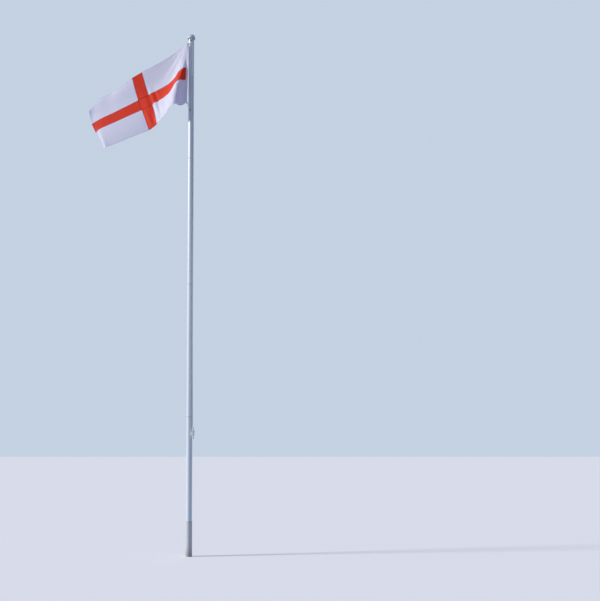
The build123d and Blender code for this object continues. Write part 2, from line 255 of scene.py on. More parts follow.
class FinishSettings(bpy.types.PropertyGroup):
    """Colours of the rigid pieces."""

    tube: bpy.props.FloatVectorProperty(
        name="Tube", description="Colour of the coated tube", subtype="COLOR", default=(0.78, 0.84, 0.83)
    )
    sleeve: bpy.props.FloatVectorProperty(
        name="Sleeve", description="Colour of the ground sleeve", subtype="COLOR", default=(0.66, 0.66, 0.63)
    )
    casting: bpy.props.FloatVectorProperty(
        name="Casting", description="Colour of the truck", subtype="COLOR", default=(0.55, 0.57, 0.57)
    )
    sheave: bpy.props.FloatVectorProperty(
        name="Sheave", description="Colour of the moulded sheave", subtype="COLOR", default=(0.30, 0.31, 0.32)
    )
    cap: bpy.props.FloatVectorProperty(
        name="Cap", description="Colour of the cap", subtype="COLOR", default=(0.74, 0.78, 0.79)
    )
    cleat: bpy.props.FloatVectorProperty(
        name="Cleat", description="Colour of the cleat", subtype="COLOR", default=(0.80, 0.81, 0.79)
    )
    clip: bpy.props.FloatVectorProperty(
        name="Clip", description="Colour of the moulded clips", subtype="COLOR", default=(0.055, 0.055, 0.065)
    )
    brass: bpy.props.FloatVectorProperty(
        name="Eyelet", description="Colour of the eyelets", subtype="COLOR", default=(0.72, 0.52, 0.25)
    )
    steel: bpy.props.FloatVectorProperty(
        name="Steel", description="Colour of pins and screws", subtype="COLOR", default=(0.60, 0.61, 0.62)
    )


def new_group(name, inputs, outputs):
    """A shader node group with the given sockets, and its input and output nodes."""
    group = bpy.data.node_groups.new(name, "ShaderNodeTree")
    for socket, kind, default in inputs:
        made = group.interface.new_socket(socket, in_out="INPUT", socket_type=kind)
        if default is not None:
            made.default_value = default
    for socket, kind in outputs:
        group.interface.new_socket(socket, in_out="OUTPUT", socket_type=kind)
    return group, group.nodes.new("NodeGroupInput"), group.nodes.new("NodeGroupOutput")


def add_node(tree, kind, sockets=None, **settings):
    """A node with its settings, and with each named socket set to a value or linked to another node's socket."""
    node = tree.nodes.new(kind)
    for name, value in settings.items():
        setattr(node, name, value)
    for name, value in (sockets or {}).items():
        if isinstance(value, bpy.types.NodeSocket):
            tree.links.new(value, node.inputs[name])
        else:
            node.inputs[name].default_value = value
    return node


def maths(tree, operation, first, second=0.0, third=None):
    """A sum or other operation on numbers or sockets."""
    sockets = {0: first, 1: second} if third is None else {0: first, 1: second, 2: third}
    return add_node(tree, "ShaderNodeMath", sockets, operation=operation).outputs[0]


def mix_colour(tree, share, first, second):
    """One colour faded into another."""
    node = add_node(tree, "ShaderNodeMix", data_type="RGBA")
    for index, value in ((0, share), (6, first), (7, second)):
        if isinstance(value, bpy.types.NodeSocket):
            tree.links.new(value, node.inputs[index])
        else:
            node.inputs[index].default_value = value
    return node.outputs[2]


def mottle_group():
    """Soft uneven colour: noise at a scale, spread evenly about one."""
    group, given, made = new_group(
        "Mottle",
        [("Vector", "NodeSocketVector", None), ("Scale", "NodeSocketFloat", 20.0), ("Amount", "NodeSocketFloat", 0.1)],
        [("Value", "NodeSocketFloat"), ("Noise", "NodeSocketFloat")],
    )
    noise = add_node(
        group, "ShaderNodeTexNoise",
        {"Vector": given.outputs["Vector"], "Scale": given.outputs["Scale"], "Detail": 5.0, "Roughness": 0.6},
    )
    centred = maths(group, "SUBTRACT", noise.outputs["Fac"], 0.5)
    value = maths(group, "MULTIPLY_ADD", centred, given.outputs["Amount"], 1.0)
    group.links.new(value, made.inputs["Value"])
    group.links.new(noise.outputs["Fac"], made.inputs["Noise"])
    return group


def band_group():
    """A soft band about one height: one in its middle and nought past its reach."""
    group, given, made = new_group(
        "Height band",
        [("Height", "NodeSocketFloat", 0.0), ("Middle", "NodeSocketFloat", 0.0), ("Reach", "NodeSocketFloat", 0.01)],
        [("Mask", "NodeSocketFloat")],
    )
    away = maths(group, "ABSOLUTE", maths(group, "SUBTRACT", given.outputs["Height"], given.outputs["Middle"]))
    share = maths(group, "DIVIDE", away, given.outputs["Reach"])
    mask = add_node(
        group, "ShaderNodeMapRange", {"Value": share, "From Min": 0.0, "From Max": 1.0, "To Min": 1.0, "To Max": 0.0},
        interpolation_type="SMOOTHSTEP",
    )
    group.links.new(mask.outputs["Result"], made.inputs["Mask"])
    return group


def streak_group():
    """Rain streaks: noise drawn out along the height, kept where it is strong."""
    group, given, made = new_group(
        "Rain streaks",
        [
            ("Vector", "NodeSocketVector", None), ("Scale", "NodeSocketFloat", 60.0),
            ("Stretch", "NodeSocketFloat", 0.03),
        ],
        [("Mask", "NodeSocketFloat")],
    )
    lengthen = add_node(group, "ShaderNodeCombineXYZ", {"X": 1.0, "Y": 1.0, "Z": given.outputs["Stretch"]})
    drawn = add_node(
        group, "ShaderNodeVectorMath", {0: given.outputs["Vector"], 1: lengthen.outputs[0]}, operation="MULTIPLY"
    )
    noise = add_node(
        group, "ShaderNodeTexNoise",
        {"Vector": drawn.outputs[0], "Scale": given.outputs["Scale"], "Detail": 3.0, "Roughness": 0.55},
    )
    mask = add_node(
        group, "ShaderNodeMapRange", {"Value": noise.outputs["Fac"], "From Min": 0.52, "From Max": 0.75},
        interpolation_type="SMOOTHSTEP",
    )
    group.links.new(mask.outputs["Result"], made.inputs["Mask"])
    return group


def grain_group():
    """Fine relief: a skin of small dimples over a coarser unevenness, as a height."""
    group, given, made = new_group(
        "Fine relief",
        [("Vector", "NodeSocketVector", None), ("Fine", "NodeSocketFloat", 900.0), ("Coarse", "NodeSocketFloat", 60.0)],
        [("Height", "NodeSocketFloat")],
    )
    fine = add_node(
        group, "ShaderNodeTexNoise", {"Vector": given.outputs["Vector"], "Scale": given.outputs["Fine"], "Detail": 2.0}
    )
    coarse = add_node(
        group, "ShaderNodeTexNoise",
        {"Vector": given.outputs["Vector"], "Scale": given.outputs["Coarse"], "Detail": 2.0},
    )
    height = maths(group, "MULTIPLY_ADD", fine.outputs["Fac"], 0.4, coarse.outputs["Fac"])
    group.links.new(height, made.inputs["Height"])
    return group


def weave_group():
    """A plain weave on a UV map in metres: threads both ways, over and under each other."""
    group, given, made = new_group(
        "Plain weave",
        [("UV", "NodeSocketVector", None), ("Threads", "NodeSocketFloat", 1600.0)],
        [("Height", "NodeSocketFloat"), ("Slub", "NodeSocketFloat")],
    )
    split = add_node(group, "ShaderNodeSeparateXYZ", {0: given.outputs["UV"]})
    turn = maths(group, "MULTIPLY", given.outputs["Threads"], math.pi)
    along = maths(group, "SINE", maths(group, "MULTIPLY", split.outputs[0], turn))
    across = maths(group, "SINE", maths(group, "MULTIPLY", split.outputs[1], turn))
    height = maths(group, "MULTIPLY_ADD", maths(group, "MULTIPLY", along, across), 0.5, 0.5)
    drawn = add_node(group, "ShaderNodeVectorMath", {0: given.outputs["UV"], 1: SLUB_SCALE}, operation="MULTIPLY")
    slub = add_node(group, "ShaderNodeTexNoise", {"Vector": drawn.outputs[0], "Scale": 1.0, "Detail": 2.0})
    group.links.new(height, made.inputs["Height"])
    group.links.new(slub.outputs["Fac"], made.inputs["Slub"])
    return group


def effect(tree, name, maker, sockets):
    """A node holding one of the shared effects, built the first time it is asked for."""
    group = bpy.data.node_groups.get(name) or maker()
    return add_node(tree, "ShaderNodeGroup", sockets, node_tree=group)


def new_material(name):
    """An empty node material, its shader and its Object coordinates."""
    material = bpy.data.materials.new(name)
    material.use_nodes = True
    tree = material.node_tree
    place = tree.nodes.new("ShaderNodeTexCoord").outputs["Object"]
    return material, tree, tree.nodes["Principled BSDF"], place


def dome_group():
    """The smooth normal of a dome about a centre, upright below it, facing the side that the surface faces."""
    group, given, made = new_group(
        "Dome normal", [("Vector", "NodeSocketVector", None), ("Centre", "NodeSocketFloat", 0.0)],
        [("Normal", "NodeSocketVector")],
    )
    place = add_node(group, "ShaderNodeSeparateXYZ", {0: given.outputs["Vector"]})
    rise = maths(group, "MAXIMUM", maths(group, "SUBTRACT", place.outputs["Z"], given.outputs["Centre"]), 0.0)
    out = add_node(group, "ShaderNodeCombineXYZ", {"X": place.outputs["X"], "Y": place.outputs["Y"], "Z": rise})
    smooth = add_node(group, "ShaderNodeVectorMath", {0: out.outputs[0]}, operation="NORMALIZE").outputs[0]
    facing = add_node(group, "ShaderNodeNewGeometry").outputs["Normal"]
    alike = add_node(group, "ShaderNodeVectorMath", {0: smooth, 1: facing}, operation="DOT_PRODUCT").outputs["Value"]
    near = maths(group, "GREATER_THAN", maths(group, "ABSOLUTE", alike), DOME_MATCH)
    turned = add_node(
        group, "ShaderNodeVectorMath", {0: smooth, "Scale": maths(group, "SIGN", alike)}, operation="SCALE"
    )
    chosen = add_node(group, "ShaderNodeMix", data_type="VECTOR")
    for index, value in ((0, near), (4, facing), (5, turned.outputs[0])):
        group.links.new(value, chosen.inputs[index])
    group.links.new(chosen.outputs[1], made.inputs["Normal"])
    return group


def relief(tree, shader, height, strength, depth, normal=None):
    """Leads a height, over a normal of its own if one is given, to the shader's normal."""
    sockets = {"Height": height, "Strength": strength, "Distance": depth}
    if normal is not None:
        sockets["Normal"] = normal
    node = add_node(tree, "ShaderNodeBump", sockets)
    tree.links.new(node.outputs["Normal"], shader.inputs["Normal"])


def skin(tree, shader, place, fine, coarse, strength, depth, normal=None):
    """Gives the shader fine relief at two scales."""
    grain = effect(tree, "Fine relief", grain_group, {"Vector": place, "Fine": fine, "Coarse": coarse})
    relief(tree, shader, grain.outputs["Height"], strength, depth, normal)


def scaled(tree, colour, tone):
    """A colour made lighter or darker by a tone."""
    return add_node(tree, "ShaderNodeVectorMath", {0: tuple(colour), 1: tone}, operation="MULTIPLY").outputs[0]


def dirtied_and_shaded(tree, base, mask, amount, dirt_and_shade):
    """A colour faded by an amount of a mask towards a stain of dirt on most pieces, and towards painted shade on the
    cloth's layers.
    """
    return mix_colour(tree, maths(tree, "MULTIPLY", mask, amount), base, (*dirt_and_shade, 1.0))


def uneven(tree, shader, place, colour, scale, amount):
    """Gives the shader a colour with soft unevenness, and hands on that colour and its noise for more layers."""
    mottle = effect(tree, "Mottle", mottle_group, {"Vector": place, "Scale": scale, "Amount": amount})
    tinted = scaled(tree, colour, mottle.outputs["Value"])
    tree.links.new(tinted, shader.inputs["Base Color"])
    return tinted, mottle.outputs["Noise"]


def ranged(tree, value, low, high):
    """A share from nought to one spread from a low value to a high one."""
    return maths(tree, "MULTIPLY_ADD", value, high - low, low)


def dulled(tree, shader, noise, low, high):
    """Gives the shader a roughness that follows a noise."""
    tree.links.new(ranged(tree, noise, low, high), shader.inputs["Roughness"])


def let_through(shader, glow, spread):
    """Lets light through the shader's cloth from behind."""
    shader.inputs["Subsurface Weight"].default_value = glow
    shader.inputs["Subsurface Radius"].default_value = spread
    shader.inputs["Subsurface Scale"].default_value = SPREAD_LENGTH


def tube_finish(colour):
    """White coated tube, with rain streaks, a chalky unevenness and a dirt line at each joint."""
    material, tree, shader, place = new_material("coated_tube")
    base, noise = uneven(tree, shader, place, colour, scale=9.0, amount=0.05)
    streaks = effect(tree, "Rain streaks", streak_group, {"Vector": place, "Scale": 70.0, "Stretch": 0.02})
    base = dirtied_and_shaded(tree, base, streaks.outputs["Mask"], 0.10, CHALK)
    height = add_node(tree, "ShaderNodeSeparateXYZ", {0: place}).outputs["Z"]
    above, reach = 0.003, 0.009
    for joint in range(1, SECTIONS):
        middle = SECTION_RISE * joint + above
        line = effect(tree, "Height band", band_group, {"Height": height, "Middle": middle, "Reach": reach})
        base = dirtied_and_shaded(tree, base, line.outputs["Mask"], 0.45, GRIME)
    tree.links.new(base, shader.inputs["Base Color"])
    dulled(tree, shader, noise, 0.26, 0.46)
    skin(tree, shader, place, fine=1400.0, coarse=260.0, strength=0.12, depth=0.0004)
    shader.inputs["Coat Weight"].default_value = 0.12
    shader.inputs["Coat Roughness"].default_value = 0.25
    return material


def sleeve_finish(colour):
    """Dull coated steel, scuffed at the rim and splashed with soil at the ground."""
    material, tree, shader, place = new_material("ground_sleeve_coat")
    base, noise = uneven(tree, shader, place, colour, scale=26.0, amount=0.16)
    height = add_node(tree, "ShaderNodeSeparateXYZ", {0: place}).outputs["Z"]
    soil = effect(tree, "Height band", band_group, {"Height": height, "Middle": 0.0, "Reach": 0.16})
    specks = effect(tree, "Mottle", mottle_group, {"Vector": place, "Scale": 90.0, "Amount": 1.0})
    splash = maths(tree, "MULTIPLY", soil.outputs["Mask"], specks.outputs["Noise"])
    base = dirtied_and_shaded(tree, base, splash, 0.9, SOIL)
    rim = effect(tree, "Height band", band_group, {"Height": height, "Middle": SLEEVE_TOP, "Reach": 0.02})
    base = dirtied_and_shaded(tree, base, rim.outputs["Mask"], ranged(tree, noise, 0.1, 0.8), SCUFFS)
    tree.links.new(base, shader.inputs["Base Color"])
    dulled(tree, shader, noise, 0.42, 0.72)
    skin(tree, shader, place, fine=700.0, coarse=110.0, strength=0.25, depth=0.0008)
    return material


def casting_finish(name, colour, fine, roughness, dome=None):
    """Painted casting or moulding, with a fine sandy skin and rain streaks. A dome's centre smooths its facets."""
    material, tree, shader, place = new_material(name)
    base, noise = uneven(tree, shader, place, colour, scale=45.0, amount=0.14)
    streaks = effect(tree, "Rain streaks", streak_group, {"Vector": place, "Scale": 120.0, "Stretch": 0.15})
    base = dirtied_and_shaded(tree, base, streaks.outputs["Mask"], 0.22, GRIME)
    tree.links.new(base, shader.inputs["Base Color"])
    dulled(tree, shader, noise, roughness - 0.08, roughness + 0.14)
    smooth = None
    if dome is not None:
        smooth = effect(tree, "Dome normal", dome_group, {"Vector": place, "Centre": dome}).outputs["Normal"]
    skin(tree, shader, place, fine, coarse=150.0, strength=0.3, depth=0.0006, normal=smooth)
    return material


def metal_finish(name, colour, roughness):
    """Bare metal with handling marks in its gloss."""
    material, tree, shader, place = new_material(name)
    noise = uneven(tree, shader, place, colour, scale=160.0, amount=0.2)[1]
    dulled(tree, shader, noise, roughness, roughness + 0.25)
    skin(tree, shader, place, fine=3000.0, coarse=700.0, strength=0.15, depth=0.0002)
    shader.inputs["Metallic"].default_value = 1.0
    return material


def moulding_finish(name, colour):
    """Moulded nylon: a low gloss with a faint even texture."""
    material, tree, shader, place = new_material(name)
    noise = uneven(tree, shader, place, colour, scale=240.0, amount=0.3)[1]
    dulled(tree, shader, noise, 0.36, 0.58)
    skin(tree, shader, place, fine=4000.0, coarse=900.0, strength=0.2, depth=0.0002)
    return material


def cloth_finish(name, colour, layer_shade, glow, spread):
    """Woven polyester: a fine weave and slubs on the UV map, uneven dye, painted shade where it lies in more
    than one layer, and light that comes through from behind."""
    material, tree, shader, _ = new_material(name)
    lie = add_node(tree, "ShaderNodeUVMap", uv_map="cloth").outputs["UV"]
    weave = effect(tree, "Plain weave", weave_group, {"UV": lie, "Threads": 1500.0})
    dye = effect(tree, "Mottle", mottle_group, {"Vector": lie, "Scale": 7.0, "Amount": 0.06})
    tone = maths(tree, "MULTIPLY", dye.outputs["Value"], ranged(tree, weave.outputs["Slub"], 0.94, 1.05))
    layer_shade_share = add_node(tree, "ShaderNodeAttribute", attribute_name="layer_shade_share", attribute_type="GEOMETRY").outputs["Fac"]
    # Painted shade, faded in where the cloth lies in more than one layer
    base = dirtied_and_shaded(tree, scaled(tree, colour, tone), layer_shade_share, 0.75, layer_shade)
    tree.links.new(base, shader.inputs["Base Color"])
    dulled(tree, shader, weave.outputs["Slub"], 0.62, 0.86)
    relief(tree, shader, weave.outputs["Height"], strength=0.25, depth=0.0002)
    shader.inputs["Specular IOR Level"].default_value = 0.22
    let_through(shader, glow, spread)
    return material


def thread_finish(name, colour):
    """Sewing thread, a little uneven along its length."""
    material, tree, shader, place = new_material(name)
    uneven(tree, shader, place, colour, scale=700.0, amount=0.25)
    shader.inputs["Roughness"].default_value = 0.6
    return material


def white_thread(flag):
    """The thread that the hems and the band share, made the first time it is asked for."""
    return bpy.data.materials.get("white_thread") or thread_finish("white_thread", flag.white_thread)


def webbing_finish(colour):
    """White polyester webbing: slanting twill ribs over a plain weave, with soft uneven grime."""
    material, tree, shader, place = new_material("heading_webbing")
    lie = add_node(tree, "ShaderNodeUVMap", uv_map="cloth").outputs["UV"]
    weave = effect(tree, "Plain weave", weave_group, {"UV": lie, "Threads": 900.0})
    split = add_node(tree, "ShaderNodeSeparateXYZ", {0: lie})
    slant = maths(tree, "MULTIPLY_ADD", split.outputs[0], RIB_SLANT, split.outputs[1])
    ribs = maths(tree, "SINE", maths(tree, "MULTIPLY", slant, 2 * math.pi / RIB_SPACING))
    grime = effect(tree, "Mottle", mottle_group, {"Vector": place, "Scale": 30.0, "Amount": 0.22})
    tone = maths(tree, "MULTIPLY", grime.outputs["Value"], ranged(tree, weave.outputs["Slub"], 0.93, 1.05))
    tree.links.new(scaled(tree, colour, tone), shader.inputs["Base Color"])
    height = maths(tree, "MULTIPLY_ADD", ribs, 0.6, weave.outputs["Height"])
    relief(tree, shader, height, strength=0.35, depth=0.0003)
    shader.inputs["Roughness"].default_value = 0.78
    shader.inputs["Specular IOR Level"].default_value = 0.3
    let_through(shader, BAND_GLOW, WHITE_SPREAD)
    return material


def rope_finish(name, colour):
    """Braided rope: short fibres along it, darker in the hollows between strands."""
    material, tree, shader, _ = new_material(name)
    lie = add_node(tree, "ShaderNodeUVMap", uv_map="rope").outputs["UV"]
    drawn = add_node(tree, "ShaderNodeVectorMath", {0: lie, 1: FIBRE_SCALE}, operation="MULTIPLY")
    fibre = add_node(tree, "ShaderNodeTexNoise", {"Vector": drawn.outputs[0], "Scale": 1.0, "Detail": 3.0})
    hollow = add_node(tree, "ShaderNodeAttribute", attribute_name="hollow", attribute_type="GEOMETRY").outputs["Fac"]
    tone = ranged(tree, fibre.outputs["Fac"], 0.86, 1.12)
    base = dirtied_and_shaded(tree, scaled(tree, colour, tone), hollow, 0.55, ROPE_HOLLOW_TONE)
    tree.links.new(base, shader.inputs["Base Color"])
    relief(tree, shader, fibre.outputs["Fac"], strength=0.35, depth=0.0003)
    shader.inputs["Roughness"].default_value = 0.75
    shader.inputs["Sheen Weight"].default_value = 0.2
    return material


def seen_ray(tree):
    """One where a ray comes from the camera, straight or by way of a mirror or a clear piece."""
    path = tree.nodes.new("ShaderNodeLightPath")
    seen = maths(tree, "MAXIMUM", path.outputs["Is Camera Ray"], path.outputs["Is Glossy Ray"])
    return maths(tree, "MAXIMUM", seen, path.outputs["Is Transmission Ray"])


def floor_finish(name, colour, lift):
    """A plain matt floor with a trace of unevenness, lifted towards the background where it is seen."""
    material, tree, shader, place = new_material(name)
    uneven(tree, shader, place, colour, scale=0.8, amount=0.02)
    tree.links.new(seen_ray(tree), shader.inputs["Emission Strength"])
    shader.inputs["Emission Color"].default_value = (*lift, 1.0)
    shader.inputs["Roughness"].default_value = 0.9
    shader.inputs["Specular IOR Level"].default_value = 0.1
    return material


def new_piece(name, points, faces, materials, body):
    """A mesh piece from an array of points and arrays of faces, one for each number of sides, riding on a body."""
    mesh = bpy.data.meshes.new(name)
    corners = np.concatenate([group.ravel() for group in faces]).astype(np.int32)
    sides = np.concatenate([np.full(len(group), group.shape[1]) for group in faces])
    starts = np.concatenate([[0], np.cumsum(sides)[:-1]]).astype(np.int32)
    mesh.vertices.add(len(points))
    mesh.vertices.foreach_set("co", np.asarray(points, dtype=np.float32).ravel())
    mesh.loops.add(len(corners))
    mesh.loops.foreach_set("vertex_index", corners)
    mesh.polygons.add(len(sides))
    mesh.polygons.foreach_set("loop_start", starts)
    mesh.polygons.foreach_set("use_smooth", np.ones(len(sides), dtype=bool))
    mesh.update(calc_edges=True)
    mesh.validate()
    for material in materials:
        mesh.materials.append(material)
    piece = bpy.data.objects.new(name, mesh)
    bpy.context.scene.collection.objects.link(piece)
    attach(piece, body)
    return piece


def set_uv(piece, name, places):
    """A UV map from one place for each point."""
    mesh = piece.data
    corner = np.empty(len(mesh.loops), dtype=np.int32)
    mesh.loops.foreach_get("vertex_index", corner)
    layer = mesh.uv_layers.new(name=name)
    layer.data.foreach_set("uv", np.asarray(places, dtype=np.float32)[corner].ravel())


def set_share(piece, name, values):
    """A number for each point, for a material to read."""
    attribute = piece.data.attributes.new(name, "FLOAT", "POINT")
    attribute.data.foreach_set("value", np.asarray(values, dtype=np.float32))


def grid_faces(rows, columns, round_rows=False, round_columns=False):
    """Four-sided faces of a grid whose points are numbered row by row, joined up where it goes round."""
    row = np.arange(rows if round_rows else rows - 1)
    column = np.arange(columns if round_columns else columns - 1)
    row, column = np.meshgrid(row, column, indexing="ij")
    below = (row + 1) % rows
    beside = (column + 1) % columns
    faces = np.stack(
        [row * columns + column, row * columns + beside, below * columns + beside, below * columns + column], axis=-1
    )
    return faces.reshape(-1, 4)


def unit(vectors):
    """Vectors made one long."""
    return vectors / np.linalg.norm(vectors, axis=-1, keepdims=True)


def bell(away, breadth):
    """A bell over a distance: one in its middle, and about a third at its breadth."""
    return np.exp(-(away / breadth) ** 2)


def ramp(value, start, breadth):
    """A share that rises evenly from nought at the start to one a breadth further on."""
    return np.clip((value - start) / breadth, 0, 1)


def wave(length, wavelength, shift):
    """A sine along a length, shifted by an angle."""
    return np.sin(2 * math.pi * length / wavelength + shift)


def middle_of(box):
    """The middle of a box that is given by two corners."""
    low, high = box
    return np.array([(low.x + high.x) / 2, (low.y + high.y) / 2, (low.z + high.z) / 2])


def along_line(path, outward, spacing, closed=False):
    """Places a set distance apart along a line through given points, with their lengths along it and their outward
    directions."""
    path = np.asarray(path, dtype=float)
    outward = np.broadcast_to(np.asarray(outward, dtype=float), path.shape)
    if closed:
        path, outward = np.concatenate([path, path[:1]]), np.concatenate([outward, outward[:1]])
    length = np.concatenate([[0.0], np.cumsum(np.linalg.norm(np.diff(path, axis=0), axis=1))])
    at = np.linspace(0.0, length[-1], max(4, int(round(length[-1] / spacing)) + 1))
    if closed:
        at = at[:-1]
    places, outward = (
        np.stack([np.interp(at, length, values[:, axis]) for axis in range(3)], axis=1) for values in (path, outward)
    )
    return places, at, outward


def tube_faces(rings, sides, closed):
    """Faces of a tube whose points are numbered ring by ring, with a point after them for each end's cap."""
    faces = [grid_faces(rings, sides, round_rows=closed, round_columns=True)]
    if not closed:
        ring = np.arange(sides)
        beside = (ring + 1) % sides
        end = rings * sides
        last = end - sides
        faces.append(np.concatenate([
            np.stack([beside, ring, np.full(sides, end)], axis=1),
            np.stack([last + ring, last + beside, np.full(sides, end + 1)], axis=1),
        ]))
    return faces


def braided(name, path, outward, radius, rope, material, body, closed=False):
    """A braided rope along a line.

    Round the line, the radius at a bearing b and a length s is the full radius less a share that grows from the
    strands' crowns: 1 - depth (1 - max |cos n/2 (b + 2 pi s / lay)|, |cos n/2 (b - 2 pi s / lay)|), for n strands
    each way, with a lay that is shorter in a thinner rope. The bearing is measured from an outward direction that
    the line never runs along. An open end is closed by a flat cap.
    """
    steepness = 2.2
    places, at, outward = along_line(path, outward, rope.station, closed)
    ahead = np.roll(places, -1, axis=0) - np.roll(places, 1, axis=0)
    if not closed:
        ahead[0] = places[1] - places[0]
        ahead[-1] = places[-1] - places[-2]
    ahead = unit(ahead)
    side = unit(np.cross(outward, ahead))
    up = np.cross(ahead, side)
    bearing = np.arange(rope.sides) * (2 * math.pi / rope.sides)
    bearing, length = np.meshgrid(bearing, at)
    twist = 2 * math.pi * length * ROPE_RADIUS / (rope.lay * radius)
    one = np.abs(np.cos(rope.strands / 2 * (bearing + twist)))
    other = np.abs(np.cos(rope.strands / 2 * (bearing - twist)))
    crown = np.maximum(one, other)
    reach = radius * (1 - rope.depth * (1 - crown))
    points = (
        places[:, None, :]
        + (reach * np.cos(bearing))[..., None] * side[:, None, :]
        + (reach * np.sin(bearing))[..., None] * up[:, None, :]
    ).reshape(-1, 3)
    lie = np.stack([bearing / (2 * math.pi), length], axis=-1).reshape(-1, 2)
    hollow = np.clip((1 - crown) * steepness, 0, 1).reshape(-1)
    if not closed:
        points = np.concatenate([points, places[:1], places[-1:]])
        lie = np.concatenate([lie, [[0.0, 0.0], [0.0, at[-1]]]])
        hollow = np.concatenate([hollow, [0.0, 0.0]])
    piece = new_piece(name, points, tube_faces(len(places), rope.sides, closed), [material], body)
    set_uv(piece, "rope", lie)
    set_share(piece, "hollow", hollow)
    return piece


def two_faced(name, front, back, materials, body, keep=None):
    """A closed piece from two grids of points, its front and its back, with a rim between them.

    Cells that aren't kept leave holes through the piece, whose walls are closed as the rim is.
    """
    columns, rows = front.shape[:2]
    count = columns * rows
    cells = np.ones((columns - 1, rows - 1), dtype=bool) if keep is None else keep
    sheet = grid_faces(columns, rows).reshape(columns - 1, rows - 1, 4)
    number = np.arange(count).reshape(columns, rows)
    padded = np.zeros((columns + 1, rows + 1), dtype=bool)
    padded[1:-1, 1:-1] = cells
    walls = []
    for before, after, start, end, flip in (
        (padded[:-1, 1:-1], padded[1:, 1:-1], number[:, :-1], number[:, 1:], False),
        (padded[1:-1, :-1], padded[1:-1, 1:], number[:-1, :], number[1:, :], True),
    ):
        for edge, turn in ((after & ~before, flip), (before & ~after, not flip)):
            first, last = (end[edge], start[edge]) if turn else (start[edge], end[edge])
            walls.append(np.stack([first, first + count, last + count, last], axis=1))
    faces = np.concatenate([sheet[cells], sheet[cells][:, ::-1] + count] + walls)
    points = np.concatenate([front.reshape(-1, 3), back.reshape(-1, 3)])
    return new_piece(name, points, [faces], materials, body), faces


def stitched(name, rows, length, thread, materials, body):
    """Lock stitches: a small rounded bar for every place, lying along the seam.

    A bar is a spindle whose radius is the square root of one less the square of the share along it, with five
    sides, about a third sunk in the cloth. A row is its places, a stitch apart, their normals and the distance from
    the cloth's middle to its face.
    """
    raised, sides = 0.35, 5
    middles, heads, normals = [], [], []
    for places, normal, offset in rows:
        ahead = unit(np.gradient(places, axis=0))
        for side in (-1, 1):
            middles.append(places + normal * (side * (offset + raised * thread)))
            heads.append(ahead)
            normals.append(normal)
    middle, head, normal = (np.concatenate(group) for group in (middles, heads, normals))
    beside = np.cross(head, normal)
    share = np.array([-0.75, 0.0, 0.75])
    angle = np.arange(sides) * (2 * math.pi / sides)
    share, angle = np.meshgrid(share, angle, indexing="ij")
    reach = thread * np.sqrt(1 - share ** 2)
    local = np.stack([share * length / 2, reach * np.cos(angle), reach * np.sin(angle)], axis=-1).reshape(-1, 3)
    local = np.concatenate([local, [[-length / 2, 0, 0], [length / 2, 0, 0]]])
    frames = np.stack([head, beside, normal], axis=1)
    points = middle[:, None, :] + np.einsum("pi,nij->npj", local, frames)
    shift = (np.arange(len(middle)) * len(local))[:, None, None]
    faces = [(group[None] + shift).reshape(-1, group.shape[1]) for group in tube_faces(*share.shape, False)]
    return new_piece(name, points.reshape(-1, 3), faces, materials, body)


def on_cleat(out, side, up):
    """A place given outward from the pole, sideways and up at the cleat."""
    out, side, up = np.broadcast_arrays(out, side, up)
    cosine, sine = math.cos(CLEAT_BEARING), math.sin(CLEAT_BEARING)
    return np.stack([out * cosine - side * sine, out * sine + side * cosine, CLEAT_HEIGHT + up], axis=-1)


def hoist_curve(down):
    """Places on the hoist's edge and its directions, for shares of the way down: an arc through its three places."""
    ends = np.array([HOIST_TOP, HOIST_MIDDLE, HOIST_FOOT])
    (x0, z0), (x1, z1), (x2, z2) = ends[:, [0, 2]]
    turn = 2 * (x0 * (z1 - z2) + x1 * (z2 - z0) + x2 * (z0 - z1))
    squares = x0 ** 2 + z0 ** 2, x1 ** 2 + z1 ** 2, x2 ** 2 + z2 ** 2
    centre_x = (squares[0] * (z1 - z2) + squares[1] * (z2 - z0) + squares[2] * (z0 - z1)) / turn
    centre_z = (squares[0] * (x2 - x1) + squares[1] * (x0 - x2) + squares[2] * (x1 - x0)) / turn
    radius = math.hypot(x0 - centre_x, z0 - centre_z)
    first = math.atan2(z0 - centre_z, x0 - centre_x)
    last = math.atan2(z2 - centre_z, x2 - centre_x)
    if last - first > math.pi:
        last -= 2 * math.pi
    if first - last > math.pi:
        last += 2 * math.pi
    angle = first + (last - first) * np.asarray(down, dtype=float)
    place = np.stack(
        [centre_x + radius * np.cos(angle), np.full_like(angle, HALYARD_PLANE), centre_z + radius * np.sin(angle)], -1
    )
    way = math.copysign(1.0, last - first)
    ahead = np.stack([-way * np.sin(angle), np.zeros_like(angle), way * np.cos(angle)], axis=-1)
    return place, ahead


def hoist_frame(down):
    """Places on the hoist's edge, with the directions in from it and square to the band down it.

    Between its eyelets the band is turned by the wind: by a sine over its height, less a share of the way down.
    """
    place, ahead = hoist_curve(down)
    down = np.asarray(down, dtype=float)
    sideways = np.stack([ahead[..., 2], np.zeros(ahead.shape[:-1]), -ahead[..., 0]], axis=-1)
    turn = (HEADING_TURN * np.sin(math.pi * down) * (1 - HEADING_EASE * down))[..., None]
    back = np.array([0.0, 1.0, 0.0])
    return place, sideways * np.cos(turn) + back * np.sin(turn), back * np.cos(turn) - sideways * np.sin(turn)


def beside_hoist(down, inward):
    """Places a distance in from the hoist's edge."""
    place, sideways, _ = hoist_frame(down)
    return place + sideways * inward


# How the cloth hangs in the wind before it settles, from the top to the foot: its angle behind the pole's plane, its
# fall over its length, and the turns, places and breadths of two bends down it
STREAM_ANGLE = (26.5, 13.3)
STREAM_FALL = (0.347, 0.277)
FOLD_TURN = (-60.0, -140.0)
FOLD_START = (-0.097, 0.186)
FOLD_BREADTH = 0.095
BILLOW_TURN = 48.0
BILLOW_START = (-0.23, 0.584)
BILLOW_BREADTH = 0.312
STREAM_PLACES = 1200


